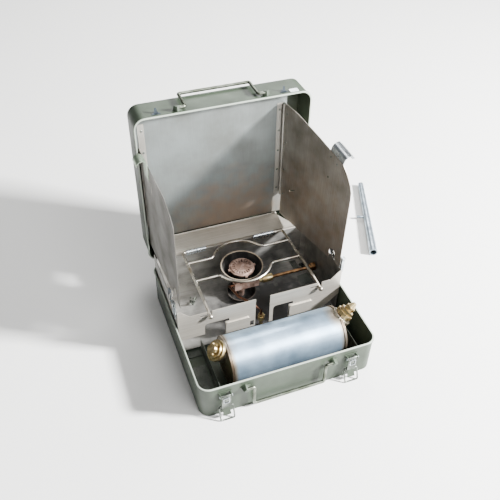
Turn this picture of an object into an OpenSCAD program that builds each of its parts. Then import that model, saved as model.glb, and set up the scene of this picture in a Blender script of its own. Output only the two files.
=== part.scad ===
// Folding field cooker: a two-part sheet-metal case that opens into a stove
// with a burner tray, pot support, hinged windshield and lift-out fuel tank.
// Millimetres. +X right, +Y back, +Z up. Origin: centre of the base's underside.

/* [Case] */
// Width of the case over its rolled rim
case_w = 340; // [320:1:380]
// Depth of the case over its rolled rim
case_d = 328; // [310:1:360]
// Height of the base
base_h = 77; // [70:1:90]
// Depth of the lid
lid_h = 57; // [45:1:75]
// Sheet thickness of base and lid
case_t = 1.5; // [1:0.1:2.5]
// Outer radius of the upright corners
corner_r = 22; // [15:1:35]
// Radius of the rolled bead round each rim
bead_r = 2.5; // [2:0.1:3.5]
// How far the lid stands open, measured from closed
lid_open = 91.6; // [90:0.1:93]

/* [Stove tray] */
// Sheet thickness of the stainless pieces
tray_t = 1; // [0.8:0.1:1.5]
// Height of the side walls at their rear end
tray_top = 114.5; // [110:0.5:115]
// Height of the front panel between its corners
panel_top = 101.5; // [96:0.5:108]
// Gap between the tray's rear wall and the case
tray_gap = 8.25; // [7.75:0.25:10.75]
// Depth of the tray from its rear wall to its front panel
tray_d = 167.2; // [160:0.2:172]
// Height of the tray's floor
tray_floor = 8; // [6:0.5:12]
// Width of the slot in the middle of the front panel
slot_w = 29; // [22:1:34]

/* [Windshield] */
// Sheet thickness of the back panel and wings
shield_t = 0.8; // [0.6:0.1:1.2]
// How deep the back panel sits behind the lid's rim
panel_recess = 16.8; // [12:0.1:22]
// Gap between the back panel's top edge and the lid's wall
shield_gap = 6.35; // [4:0.05:15]
// Length of each wing from hinge to the foot of its front edge
wing_len = 203; // [188:1:205]
// How far the left wing's top edge stays below the back panel's
left_drop = 52.5; // [40:0.5:70]
// How far the right wing's highest corner stays below the back panel's top edge
right_drop = 8.5; // [5:0.5:20]
// Flare of the right wing away from straight forward
right_flare = 12.8; // [11:0.1:12.8]
// Turn of the left wing inward from straight forward
left_turn = 2.2; // [2.2:0.1:4]
// Outside radius of the hinge knuckles
knuckle_r = 2.4; // [2:0.1:3]

/* [Burner] */
// Radius of the flame bowl's rim
bowl_r = 41; // [36:0.5:46]
// Radius of the burner cap
cap_r = 25.5; // [22:0.5:28]
// Radius of the priming cup
cup_r = 29.5; // [25:0.5:33]
// Height of the flame bowl's rim
bowl_top = 93; // [90:0.5:96]
// Number of flame slots in the cap
flame_slots = 20; // [12:1:28]
// Distance of the burner's axis from the tray's rear wall
burner_in = 63.5; // [60:0.5:68]

/* [Pot support] */
// Radius of the pot support's wire
rod_r = 2.7; // [2:0.1:3.2]
// Height of the wire's centre line
support_z = 105; // [103:0.5:108]
// Distance between the side rods
support_w = 216; // [200:1:230]
// Radius of the ring that the cross wires make round the burner
ring_r = 58; // [52:0.5:62]

/* [Tank] */
// Outside radius of the tank
tank_r = 45.3; // [40:0.1:47]
// Length of the tank's straight shell
tank_len = 217; // [190:1:222]
// Wall thickness of the tank
tank_t = 1.2; // [0.8:0.1:2]
// Height of the dished ends
dish_h = 9; // [6:0.5:10]
// Radius of the filler cap
filler_r = 19.7; // [16:0.1:20]
// Tilt of the filler and valve above level
neck_tilt = 45; // [40:1:50]
// Distance of the tank's axis from the base's front wall
tank_in = 69.75; // [66:0.25:74]

/* [Handles and latches] */
// Distance between the legs of each handle
handle_w = 137; // [120:1:150]
// Radius of the handle wire
handle_r = 3; // [2.5:0.1:3.5]
// Distance between the two latches
latch_gap = 242; // [220:1:256]
// Width of a latch lever
lever_w = 17; // [14:1:22]
// Length of a latch's wire loop
loop_len = 27.3; // [22:0.1:27.3]
// How far a latch's loop hangs away from straight down
loop_tilt = 22; // [22:1:45]

/* [Tube spanner] */
// Length of the tube spanner
spanner_len = 254; // [200:1:280]
// Outside radius of its wide end
spanner_r = 9; // [7:0.5:11]

/* [Fits] */
// Radial clearance of pins and spindles in their holes
fit = 0.05; // [0.02:0.01:0.1]
// Gap between loose-fitting parts
gap = 0.3; // [0.2:0.05:0.5]

/* [Hidden] */
$fn = 48;
big = 600;
// how much a bent wire swells at its bends
bend_swell = 0.08;
// centre line of the rolled bead
mid_x = case_w/2 - bead_r;
mid_y = case_d/2 - bead_r;
wall_x = mid_x + case_t/2;
wall_y = mid_y + case_t/2;
in_x = wall_x - case_t;
in_y = wall_y - case_t;
// case hinge axis, behind and below the rim
hinge_y = case_d/2 + 5;
hinge_z = base_h - 11.4;
hinge_r = 3.2;
hinge_pin_r = 1.6;
hinge_x = 100;
hinge_len = 50;
lid_z = base_h + gap;
// tray
tray_x = in_x - 2.2;
tray_back = in_y - tray_gap;
tray_y0 = tray_back - tray_d;
side_rise = 5;
// pot support hinge line, in front of the tray's rear wall
barrel_y = tray_back - 4.5;
barrel_r = rod_r + 1.2;
side_rod = support_w/2;
barrels = [[28 - side_rod, 20], [side_rod - 42, 22]];
rod_bends = [tray_y0 + 23.7, tray_y0 + 18.7];
ball_r = 4.6;
ball_right = [side_rod + 11.5, tray_y0 - ball_r - 1.2, support_z - 15];
ball_left = [-side_rod + 4.4, tray_y0 - ball_r - 1.2, support_z - 12];
// windshield, in the lid's own frame before it leans back
lid_lean = lid_open - 90;
panel_y = hinge_y + lid_z - hinge_z + panel_recess;
panel_side = 1.2;
panel_x = [-in_x + panel_side, in_x - 40.75];
lid_top = hinge_z + hinge_y + in_y;
shield_top = lid_top - shield_gap;
left_top = shield_top - left_drop;
right_top = shield_top - right_drop;
lid_back_y = hinge_y + lid_z + lid_h - case_t - hinge_z;
wing_z0 = tray_top + 1.8;
wing_s0 = knuckle_r + 0.8;
wing_pin_r = 1.2;
left_axis = [-in_x + knuckle_r + 1, panel_y - knuckle_r];
right_axis = [panel_x[1] - 8, panel_y - knuckle_r - 3.5];
left_hinge_z = [wing_z0 + 43.7, shield_top - 10];
right_hinge_z = [wing_z0 + 48.7, shield_top - 16];
left_leaf_z = [left_hinge_z[0], left_top - 6];
seg_n = 10;
move_r = knuckle_r - 0.25;
// burner
burner = [-3, tray_back - burner_in];
block_z = [32, 52];
stem_r = 12;
spindle_y = burner[1] - 1;
spindle_z = 38;
spindle_r = 3.5;
union_at = [4, tray_y0 + 10.7];
// tank
tank_y = tank_in - in_y;
tank_z = tank_r + case_t + 1.7;
tank_x0 = 69.75 - in_x;
tank_x1 = tank_x0 + tank_len;
rim_w = 3;
rim_r = tank_r + 0.8;
dish_r = (tank_r*tank_r + dish_h*dish_h)/(2*dish_h);
fill_at = [tank_x0 - 2, tank_y, tank_z + 18.5];
valve_at = [tank_x1 + 1.4, tank_y, tank_z + 25.7];
neck_r = 12;
gasket_r = neck_r + 3.8;
nut_bore = 9;
// latches and handles
fitting_x = -4;
latch_x = [fitting_x - latch_gap/2, fitting_x + latch_gap/2];
latch_out = 6.5;
latch_y = -wall_y - latch_out;
latch_z = base_h - 20;
lever_len = 30;
knob_r = 3;
latch_pin_r = 1.6;
loop_r = 1.4;
loop_side = 4.4;
handle_out = 7;
handle_y = -wall_y - handle_out;
handle_z = base_h - 18;
lid_handle_z = lid_z + 9;
handle_drop = 48;
bail_end = 17;
// tube spanner, lying on the ground beside the case
spanner_at = [319, 109];
spanner_dir = 68.8;
spanner_end_r = spanner_r - 2.4;
peg_r = 2.8;

// ---- shapes used by several pieces ----

// rectangle with round corners
module rrect(w, d, r) {
  square([w - 2*r, d], center = true);
  square([w, d - 2*r], center = true);
  for (x = [-1, 1], y = [-1, 1]) translate([x*(w/2 - r), y*(d/2 - r)]) circle(r);
}

// box given by its lowest and highest corners
module block(a, b) {
  translate(a) cube([b[0] - a[0], b[1] - a[1], b[2] - a[2]]);
}

// round bar between two points
module rod(a, b, r) {
  v = b - a;
  l = norm(v);
  translate(a) rotate([0, acos(v[2]/l), atan2(v[1], v[0])]) cylinder(h = l, r = r);
}

// wire through a list of points, rounded at its bends
module wire(pts, r) {
  for (i = [0:len(pts) - 2]) rod(pts[i], pts[i + 1], r);
  for (i = [1:len(pts) - 2]) translate(pts[i]) rotate([35, 25, 0]) sphere(r + bend_swell);
}

// cylinder along X
module xcyl(x0, x1, y, z, r) {
  translate([x0, y, z]) rotate([0, 90, 0]) cylinder(h = x1 - x0, r = r);
}

// rolled bead round the rim, centred at z = 0
module bead() {
  r = corner_r - bead_r;
  for (s = [-1, 1]) {
    xcyl(-(mid_x - r), mid_x - r, s*mid_y, 0, bead_r);
    translate([s*mid_x, mid_y - r, 0]) rotate([90, 0, 0]) cylinder(h = 2*(mid_y - r), r = bead_r);
  }
  for (c = [[1, 1, 0], [-1, 1, 90], [-1, -1, 180], [1, -1, 270]])
    translate([c[0]*(mid_x - r), c[1]*(mid_y - r), 0]) rotate([0, 0, c[2]])
      rotate_extrude(angle = 90) translate([r, 0]) circle(bead_r);
}

// open box with its mouth up and a bead round it
module shell(h) {
  r = corner_r - bead_r;
  difference() {
    union() {
      linear_extrude(h - bead_r) rrect(2*wall_x, 2*wall_y, r + case_t/2);
      translate([0, 0, h - bead_r]) bead();
    }
    translate([0, 0, case_t]) linear_extrude(h) rrect(2*in_x, 2*in_y, r - case_t/2);
  }
}

// turns what is drawn on the closed lid to where the open lid holds it
module opened() {
  translate([0, hinge_y, hinge_z]) rotate([-lid_open, 0, 0])
    translate([0, -hinge_y, -hinge_z]) children();
}

// leans what is drawn upright back with the open lid
module leaned() {
  translate([0, hinge_y, hinge_z]) rotate([-lid_lean, 0, 0])
    translate([0, -hinge_y, -hinge_z]) children();
}

// every second knuckle of a hinge that runs along Z
module knuckles(zr, part, r) {
  step = (zr[1] - zr[0])/seg_n;
  for (i = [part:2:seg_n - 1]) translate([0, 0, zr[0] + i*step + 0.15])
    cylinder(h = step - 0.3, r = r);
}

// flat tongues that join those knuckles to their leaf
module tongues(zr, part, a, b) {
  step = (zr[1] - zr[0])/seg_n;
  for (i = [part:2:seg_n - 1])
    block([a[0], a[1], zr[0] + i*step + 0.15], [b[0], b[1], zr[0] + (i + 1)*step - 0.15]);
}

// a wing's own frame: the hinge axis at the origin, the wing along -Y
module in_left() {
  leaned() translate([left_axis[0], left_axis[1], 0]) rotate([0, 0, left_turn]) children();
}
module in_right() {
  leaned() translate([right_axis[0], right_axis[1], 0]) rotate([0, 0, right_flare]) children();
}

// sheet cut to an outline drawn as [distance from the hinge, height]
module upright_sheet(t) {
  rotate([90, 0, -90]) translate([0, 0, -t/2]) linear_extrude(t) children();
}

// ---- case ----

module case_base() {
  color("darkolivegreen") shell(base_h);
}

module hinge_bore() {
  xcyl(-big/2, big/2, hinge_y, hinge_z, hinge_pin_r + fit);
}

module hinge_leaves_base() {
  color("darkolivegreen") difference() {
    for (s = [-1, 1]) translate([s*hinge_x - hinge_len/2, 0, 0]) {
      translate([0, wall_y, hinge_z - 22]) cube([hinge_len, case_t, 20.5]);
      for (x = [0, hinge_len*3/4]) {
        translate([x, wall_y, hinge_z - 4]) cube([hinge_len/4 - gap, hinge_y - wall_y, 2.5]);
        xcyl(x, x + hinge_len/4 - gap, hinge_y, hinge_z, hinge_r);
      }
    }
    hinge_bore();
  }
}

module hinge_pins() {
  color("silver") for (s = [-1, 1])
    xcyl(s*hinge_x - hinge_len/2, s*hinge_x + hinge_len/2 - gap, hinge_y, hinge_z, hinge_pin_r);
}

module case_lid() {
  color("darkolivegreen") opened() translate([0, 0, lid_z + lid_h]) mirror([0, 0, 1]) shell(lid_h);
}

module hinge_leaves_lid() {
  leaf_y = hinge_y - hinge_r - case_t + 0.9;
  leaf_w = hinge_len/2 - gap;
  color("darkolivegreen") opened() difference() {
    for (s = [-1, 1]) translate([s*hinge_x - hinge_len/4, 0, 0]) {
      block([0, wall_y, lid_z + 7], [leaf_w, leaf_y + case_t, lid_z + 23]);
      block([0, leaf_y, hinge_z], [leaf_w, leaf_y + case_t, lid_z + 8]);
      xcyl(0, leaf_w, hinge_y, hinge_z, hinge_r);
    }
    hinge_bore();
  }
}

// ---- stove tray ----

module stove_tray() {
  turn_in = 9.5;
  back_h = support_z - 5;
  color("lightgray") {
    for (s = [-1, 1]) translate([s*(tray_x - tray_t/2) - tray_t/2, 0, 0]) rotate([90, 0, 90])
      linear_extrude(tray_t) polygon([[tray_y0 + tray_t, case_t], [tray_back - turn_in, case_t],
        [tray_back - turn_in, base_h + 8], [tray_back, base_h + 8], [tray_back, tray_top],
        [tray_y0 + tray_t, tray_top + side_rise]]);
    translate([0, 0, case_t]) linear_extrude(back_h - case_t) difference() {
      polygon([[-tray_x, tray_back - turn_in - 1], [-tray_x, tray_back - turn_in],
        [-tray_x + turn_in, tray_back], [tray_x - turn_in, tray_back],
        [tray_x, tray_back - turn_in], [tray_x, tray_back - turn_in - 1]]);
      offset(delta = -tray_t) polygon([[-tray_x, 0], [-tray_x, tray_back - turn_in],
        [-tray_x + turn_in, tray_back], [tray_x - turn_in, tray_back],
        [tray_x, tray_back - turn_in], [tray_x, 0]]);
    }
    translate([0, 0, tray_floor - tray_t]) linear_extrude(tray_t)
      polygon([[-tray_x + tray_t/2, tray_y0 + tray_t], [-tray_x + tray_t/2, tray_back - turn_in],
        [-tray_x + turn_in, tray_back - tray_t/2], [tray_x - turn_in, tray_back - tray_t/2],
        [tray_x - tray_t/2, tray_back - turn_in], [tray_x - tray_t/2, tray_y0 + tray_t]]);
  }
}

// outline of the front panel, with its middle slot, windows and cut corner
module panel_outline() {
  lip = 23;
  hi = tray_top + side_rise;
  difference() {
    polygon([[-tray_x, 41], [-tray_x, hi], [-tray_x + 5, hi], [-tray_x + lip, panel_top],
      [tray_x - lip, panel_top], [tray_x - 5, hi], [tray_x, hi], [tray_x, 56.5],
      [tray_x - 25, 33], [tray_x - 34, 27], [-114, 27], [-114, 41]]);
    translate([-slot_w/2 + 2, 20]) square([slot_w, panel_top]);
    translate([-114, 0]) square([41, 62]);
    translate([-107, 40]) square([34, 29]);
    translate([-107, 62]) circle(7);
    translate([-73.5, 61]) square([8, 8]);
    translate([24, 20]) square([33, 42]);
    translate([31, 40]) square([26, 29]);
    translate([31, 62]) circle(7);
    translate([56.5, 62]) square([9, 7]);
    translate([-23, 30]) square([8, 14]);
    // the pot support's feet pass through here and lift out upwards
    for (b = [ball_left, ball_right]) {
      translate([b[0] - rod_r - 1.6, 86]) square([2*rod_r + 3.2, panel_top]);
      translate([b[0] < 0 ? b[0] - 18 : b[0] - 20, 91]) square([20, 4.5]);
    }
  }
}

module front_panel() {
  tab_w = 48;
  color("lightgray") {
    translate([0, tray_y0 + tray_t, 0]) rotate([90, 0, 0]) linear_extrude(tray_t) panel_outline();
    // folded hem along the top edge, between the openings
    for (x = [[ball_left[0] + 5, -slot_w/2 + 2], [slot_w/2 + 2, ball_right[0] - 5]])
      block([x[0], tray_y0 - tray_t, panel_top - 6], [x[1], tray_y0 + 0.2, panel_top]);
    // tabs that stand out beside the windows, towards the tank
    for (x = [-72.5, 58.5]) translate([x + tab_w/2, tray_y0 + 0.2, 0]) rotate([90, 0, 0])
      linear_extrude(2.4) translate([0, 45]) rrect(tab_w, 26, 4);
  }
}

module apron() {
  front_z = support_z + 1;
  back_y = panel_y - 1;
  back_z = wing_z0 - 3.5;
  x0 = -tray_x + 7.5;
  x1 = right_axis[0] - knuckle_r - 2.5;
  color("lightgray") intersection() {
    translate([x0, 0, 0]) rotate([90, 0, 90]) linear_extrude(2*tray_x)
      polygon([[tray_back, support_z - 14], [tray_back + tray_t, support_z - 14],
        [tray_back + tray_t, front_z - tray_t], [back_y, back_z - tray_t], [back_y, back_z],
        [tray_back, front_z]]);
    // the right edge runs in towards the back
    linear_extrude(big) polygon([[x0, tray_back], [tray_x - 26, tray_back], [tray_x - 26, tray_back + 2],
      [x1, back_y - 6], [x1, back_y], [x0, back_y]]);
  }
}

module support_barrels() {
  color("gainsboro") for (b = barrels) difference() {
    union() {
      xcyl(b[0] - b[1], b[0] + b[1], barrel_y, support_z, barrel_r);
      block([b[0] - b[1], barrel_y - 1, support_z - barrel_r - 3.5],
        [b[0] + b[1], tray_back - tray_t, support_z - barrel_r + 1]);
    }
    xcyl(b[0] - b[1] - 1, b[0] + b[1] + 1, barrel_y, support_z, rod_r + fit);
  }
}

// ---- burner ----

module burner_bowl() {
  floor_z = bowl_top - 25;
  color("dimgray") translate([burner[0], burner[1], 0]) rotate_extrude()
    polygon([[stem_r + fit, floor_z], [24, floor_z], [bowl_r - 5, bowl_top - 14], [bowl_r, bowl_top - 1.5],
      [bowl_r + 1.5, bowl_top], [bowl_r - 0.2, bowl_top], [bowl_r - 1.4, bowl_top - 1.5],
      [bowl_r - 6.4, bowl_top - 13], [23.5, floor_z + 1.4], [stem_r + fit, floor_z + 1.4]]);
}

module burner_body() {
  color("rosybrown") {
    translate([burner[0], burner[1], 0]) {
      translate([0, 0, tray_floor + 1.2]) cylinder(h = block_z[0] - tray_floor, r = 6);
      translate([0, 0, block_z[1] - 1]) cylinder(h = bowl_top - 8 - block_z[1], r = stem_r);
      translate([0, 0, bowl_top - 29]) cylinder(h = 4, r = stem_r + 5);
    }
    block([burner[0] - 17, spindle_y - 9, block_z[0]], [burner[0] + 35, spindle_y + 7, block_z[1]]);
  }
}

module burner_cap() {
  z0 = bowl_top - 9;
  color("rosybrown") translate([burner[0], burner[1], z0]) difference() {
    union() {
      cylinder(h = 3.5, r = cap_r);
      translate([0, 0, 3]) cylinder(h = 2, r = cap_r - 3.5);
      for (a = [180, 0, 270]) rotate([0, 0, a]) translate([cap_r - 1, -2.5, 0]) cube([4, 5, 3.5]);
    }
    for (i = [0:flame_slots - 1]) rotate([0, 0, i*360/flame_slots])
      translate([stem_r + 1.8, -1.1, -1]) cube([cap_r - stem_r - 7, 2.2, 9]);
  }
}

module priming_cup() {
  h = 13.5;
  color("dimgray") translate([burner[0], burner[1], tray_floor]) rotate_extrude()
    polygon([[0, 0], [cup_r - 6, 0], [cup_r, h - 1.5], [cup_r + 1.5, h], [cup_r, h], [cup_r - 1.4, h - 1.5],
      [cup_r - 6.8, 1.2], [0, 1.2]]);
}

module fuel_pipe() {
  x0 = burner[0] - 17;
  u = union_at;
  y0 = burner[1] - 5;
  z0 = block_z[0] + 13;
  color("peru") wire([[x0, y0, z0], [x0 - 11, y0, z0], [x0 - 7, y0 - 44, z0 + 13],
    [u[0] - 19, u[1] + 8, 74], [u[0] - 13, u[1], 70], [u[0] - 0.5, u[1], 54], [u[0], u[1], 43.15]], 2.6);
}

module pipe_union() {
  color("goldenrod") translate([union_at[0], union_at[1], tray_floor]) {
    cylinder(h = 22, r = 4);
    translate([0, 0, 21]) cylinder(h = 9, r = 7, $fn = 6);
    translate([0, 0, 29]) cylinder(h = 43 - tray_floor - 29, r = 5);
  }
}

module spindle_gland() {
  x0 = burner[0] + 35;
  color("goldenrod") difference() {
    union() {
      xcyl(x0, x0 + 12, spindle_y, spindle_z, 6);
      xcyl(x0 + 10, x0 + 32, spindle_y, spindle_z, 8);
    }
    xcyl(x0 + 6, x0 + 40, spindle_y, spindle_z, spindle_r + fit);
  }
}

module regulator_spindle() {
  x0 = burner[0] + 35;
  x1 = tray_x - 4;
  color("goldenrod") {
    xcyl(x0 + 6.5, x1, spindle_y, spindle_z, spindle_r);
    xcyl(x1 - 9, x1, spindle_y, spindle_z, 9);
    xcyl(x1 - 13, x1 - 8, spindle_y, spindle_z, 6);
  }
}

// ---- in the tray and in the front of the base ----

module tray_screws() {
  color("silver") {
    translate([burner[0] - 98, burner[1] + 17, tray_floor])
      for (p = [[-2, -6], [-7, 0], [0, 2], [-5, 7]]) translate(p) cylinder(h = 1.5, r = 2);
    translate([tray_x - 14.5, tray_back - 29.5, tray_floor]) {
      cylinder(h = 5, r = 3.5);
      block([-7, -1.2, 3], [7, 1.2, 10]);
    }
  }
}

module tray_hatch() {
  color("gray") {
    translate([tray_x - 39.5, burner[1] - 20, tray_floor]) linear_extrude(1)
      polygon([[0, 0], [30, 3], [27, 32], [3, 29]]);
    translate([tray_x - 35.5, tray_back - 30.5, tray_floor]) linear_extrude(1) difference() {
      square([13, 23]);
      for (x = [3, 6.5, 10], y = [4, 8, 12, 16]) translate([x, y]) circle(1);
    }
  }
}

module floor_plates() {
  color("gray") {
    translate([6.75 - in_x, 0, case_t]) {
      block([0, 18.75 - in_y, 0], [32, tank_y + 37, 1.5]);
      block([0, tray_y0 - 16.3, 0], [32, tray_y0 - 2.5, 1.5]);
    }
  }
}

module tank_bearers() {
  color("gray") for (x = [tank_x0 - 28, tank_x1 + 26])
    translate([x, 0, 0]) rotate([90, 0, 90]) linear_extrude(1.2)
      polygon([[-in_y, case_t], [-in_y, 36], [-in_y + 4, 40], [tray_y0 - 9.3, 40], [tray_y0 - 5.3, 36],
        [tray_y0 - 5.3, case_t]]);
}

module tank_saddles() {
  color("gray") difference() {
    for (x = [tank_x0 + 40, tank_x1 - 44]) block([x, tank_y - 28, case_t], [x + 4, tank_y + 28, case_t + 9]);
    xcyl(-big/2, big/2, tank_y, tank_z, tank_r);
  }
}

// ---- fuel tank ----

// outside shape of the tank, for cutting what seats on it
module tank_solid() {
  xcyl(tank_x0, tank_x1, tank_y, tank_z, tank_r);
  for (e = [[tank_x0, -1], [tank_x1, 1]]) translate([e[0], tank_y, tank_z]) rotate([0, 90*e[1], 0]) {
    cylinder(h = rim_w, r = rim_r);
    translate([0, 0, rim_w]) intersection() {
      translate([0, 0, dish_h - dish_r]) sphere(dish_r);
      cylinder(h = dish_h + 1, r = tank_r);
    }
  }
}

module tank_shell() {
  color("silver") difference() {
    xcyl(tank_x0, tank_x1, tank_y, tank_z, tank_r);
    xcyl(tank_x0 - 1, tank_x1 + 1, tank_y, tank_z, tank_r - tank_t);
  }
}

module tank_ends() {
  color("tan") for (e = [[tank_x0, -1], [tank_x1, 1]])
    translate([e[0], tank_y, tank_z]) rotate([0, 90*e[1], 0]) {
      difference() {
        cylinder(h = rim_w, r = rim_r);
        translate([0, 0, -1]) cylinder(h = rim_w + 2, r = tank_r - tank_t);
      }
      translate([0, 0, rim_w]) rotate_extrude() intersection() {
        translate([0, dish_h - dish_r]) difference() {
          circle(dish_r, $fn = 180);
          circle(dish_r - tank_t, $fn = 180);
        }
        translate([0, -0.2]) square([tank_r, dish_h + 1]);
      }
    }
}

// along the filler, from where it leaves the tank
module on_filler(u) {
  translate(fill_at) rotate([0, neck_tilt - 90, 0]) translate([0, 0, u]) children();
}

// along the valve, from where it leaves the tank
module on_valve(u) {
  translate(valve_at) rotate([0, 90 - neck_tilt, 0]) translate([0, 0, u]) children();
}

module filler_neck() {
  color("gray") difference() {
    on_filler(-6) {
      cylinder(h = 32, r = neck_r);
      translate([0, 0, 6]) cylinder(h = 19, r = 17);
    }
    tank_solid();
  }
}

module filler_gasket() {
  color("black") on_filler(19) difference() {
    cylinder(h = 1.7, r = gasket_r);
    translate([0, 0, -1]) cylinder(h = 4, r = neck_r + fit);
  }
}

module filler_cap() {
  color("goldenrod") on_filler(21) difference() {
    union() {
      cylinder(h = 6, r = filler_r);
      translate([0, 0, 5]) cylinder(h = 5, r = filler_r - 4);
      translate([0, 0, 9]) cylinder(h = 8, r = 9);
      // flats for gripping
      for (i = [0:5]) rotate([0, 0, i*60]) translate([6.5, -2.5, 9]) cube([4.5, 5, 7]);
    }
    translate([0, 0, -1]) cylinder(h = 6.3, r = neck_r + fit);
  }
}

module valve_socket() {
  color("goldenrod") difference() {
    on_valve(-6) {
      cylinder(h = 22, r = 14);
      translate([0, 0, 12]) cylinder(h = 7.5, r = 19.7);
    }
    tank_solid();
    block([tank_x1 - 60, tank_y - 40, 0], [tank_x1 + rim_w, tank_y + 40, big]);
    on_valve(13) cylinder(h = 40, r = nut_bore - 1.5);
  }
}

module valve_tail() {
  color("goldenrod") on_valve(13) difference() {
    union() {
      cylinder(h = 18, r = nut_bore - 1.5);
      translate([0, 0, 17.3]) cylinder(h = 8, r = nut_bore);
      translate([0, 0, 25]) cylinder(h = 10, r1 = nut_bore - 1, r2 = 3.5);
    }
    translate([0, 20, 21]) rotate([90, 0, 0]) cylinder(h = 40, r = 2.5);
    translate([0, 0, 24]) cylinder(h = 20, r = 2);
  }
}

module valve_nut() {
  color("goldenrod") on_valve(16.3) difference() {
    union() {
      cylinder(h = 6.8, r = 15.5);
      translate([0, 0, 6]) cylinder(h = 7.5, r = 13.5, $fn = 6);
      for (i = [0:11]) rotate([0, 0, i*30]) translate([14.5, -1.4, 0]) cube([1.8, 2.8, 6.8]);
    }
    translate([0, 0, -1]) cylinder(h = 30, r = nut_bore - 1.5 + fit);
  }
}

// ---- handles ----

// wire bail with its turned-out ends on the pivot line, hanging along -Z
module bail() {
  x = handle_w/2;
  wire([[-x - bail_end, 0, 0], [-x, 0, 0], [-x, 0, -handle_drop], [x, 0, -handle_drop], [x, 0, 0],
    [x + bail_end, 0, 0]], handle_r);
}

// rolled brackets that hold a bail's ends, the wall's face at y = 0 and the pivot in front of it;
// their plates run from lo to hi about the pivot's height
module bail_brackets(lo, hi) {
  x0 = handle_w/2 + handle_r + 1;
  x1 = x0 + 20;
  r = handle_r + 1.2;
  difference() {
    for (s = [0, 1]) mirror([s, 0, 0]) {
      block([x0, -1.2, lo], [x1, 0, hi]);
      block([x0, -handle_out, -2], [x1, 0, 2]);
      xcyl(x0, x1, -handle_out, 0, r);
    }
    xcyl(-big/2, big/2, -handle_out, 0, handle_r + fit);
  }
}

module base_handle() {
  color("silver") translate([fitting_x, handle_y, handle_z]) bail();
}

module base_handle_brackets() {
  color("darkolivegreen") translate([fitting_x, -wall_y, handle_z]) bail_brackets(-8, 8);
}

module lid_handle() {
  color("silver") opened() translate([fitting_x, handle_y, lid_handle_z]) mirror([0, 0, 1]) bail();
}

module lid_handle_brackets() {
  color("darkolivegreen") opened() translate([fitting_x, -wall_y, lid_handle_z])
    bail_brackets(lid_z + 2*bead_r + gap - lid_handle_z, 10);
}

// ---- latches ----

module latch_plates() {
  color("darkolivegreen") for (x = latch_x) translate([x, 0, 0]) difference() {
    union() {
      block([-lever_w/2 - 4, -wall_y - 1.2, latch_z - 14], [lever_w/2 + 4, -wall_y, latch_z + 5]);
      for (s = [-1, 1]) translate([s*(lever_w/2 + 1.3) - 1, 0, 0]) {
        block([0, latch_y, latch_z - 3.5], [2, -wall_y - 0.5, latch_z + 3.5]);
        xcyl(0, 2, latch_y, latch_z, 3.5);
      }
    }
    xcyl(-big/2, big/2, latch_y, latch_z, latch_pin_r + fit);
  }
}

module latch_pins() {
  color("silver") for (x = latch_x) {
    xcyl(x - lever_w/2 - 3, x + lever_w/2 + 3, latch_y, latch_z, latch_pin_r);
    for (s = [-1, 1]) xcyl(x + s*(lever_w/2 + 2.8) - 0.5, x + s*(lever_w/2 + 2.8) + 0.5,
      latch_y, latch_z, 2.4);
  }
}

module lever() {
  w = lever_w/2;
  difference() {
    union() {
      xcyl(-w, w, latch_y, latch_z, knob_r);
      xcyl(-w, w, latch_y, latch_z - lever_len, knob_r);
      block([-w, latch_y - knob_r, latch_z - lever_len], [w, latch_y - knob_r + 1.5, latch_z]);
    }
    xcyl(-big/2, big/2, latch_y, latch_z, latch_pin_r + fit);
    xcyl(-big/2, big/2, latch_y, latch_z - lever_len, loop_r + fit);
  }
}

module loop() {
  w = lever_w/2 + loop_side;
  translate([0, latch_y, latch_z - lever_len]) rotate([-loop_tilt, 0, 0])
    wire([[0, 0, 0], [w, 0, 0], [w, 0, -loop_len], [-w, 0, -loop_len], [-w, 0, 0], [0, 0, 0]], loop_r);
}

module lever_left() {
  color("silver") translate([latch_x[0], 0, 0]) lever();
}
module lever_right() {
  color("silver") translate([latch_x[1], 0, 0]) lever();
}
module loop_left() {
  color("silver") translate([latch_x[0], 0, 0]) loop();
}
module loop_right() {
  color("silver") translate([latch_x[1], 0, 0]) loop();
}

module lid_strikers() {
  color("silver") opened() for (x = latch_x) translate([x, -wall_y, lid_z + 9]) {
    block([-8, -1.2, -2], [8, 0, 12]);
    block([-3, -7, 4], [3, -1, 5.5]);
    block([-3, -7, 4], [3, -5.5, 11]);
  }
}

module label_plate() {
  color("white") opened() translate([latch_x[1] + 11, -wall_y, lid_z + 6])
    block([0, -0.8, 0], [17, 0, 11]);
}

// ---- windshield ----

// outline of the back panel, its outer corner as round as the lid's, set in by d
module back_outline(d) {
  r = corner_r - bead_r - case_t/2 - panel_side - d;
  c = [-in_x + panel_side + d + r, lid_top - panel_side - d - r];
  intersection() {
    translate([panel_x[0] + d, wing_z0 - 1])
      square([panel_x[1] - panel_x[0] - 2*d, shield_top - wing_z0 + 1 - d]);
    union() {
      translate([c[0] - r, 0]) square([big, c[1]]);
      translate([c[0], 0]) square([big, big]);
      translate(c) circle(r);
    }
  }
}

module back_panel() {
  h = big;
  color("lightgray") leaned() intersection() {
    translate([0, lid_back_y, 0]) rotate([90, 0, 0]) difference() {
      linear_extrude(lid_back_y - panel_y) back_outline(0);
      translate([0, 0, -1]) linear_extrude(lid_back_y - panel_y + 1 - shield_t) back_outline(shield_t);
    }
    block([-h, -h, wing_z0], [h, h, h]);
  }
}

module left_hinge_leaf() {
  a = left_axis;
  x0 = a[0] + knuckle_r + 0.3;
  color("gainsboro") leaned() difference() {
    union() {
      translate([a[0], a[1], 0]) knuckles(left_leaf_z, 0, knuckle_r);
      tongues(left_leaf_z, 0, [a[0], panel_y - shield_t], [x0 + 1, panel_y]);
      block([x0, panel_y - shield_t, left_leaf_z[0]], [x0 + 12, panel_y, left_hinge_z[1]]);
    }
    translate([a[0], a[1], 0]) cylinder(h = big, r = wing_pin_r + fit);
    for (z = [left_hinge_z[0] + 25:45:left_hinge_z[1]]) translate([x0 + 7, panel_y + 1, z])
      rotate([90, 0, 0]) cylinder(h = 3, r = 1.5);
  }
}

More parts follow.
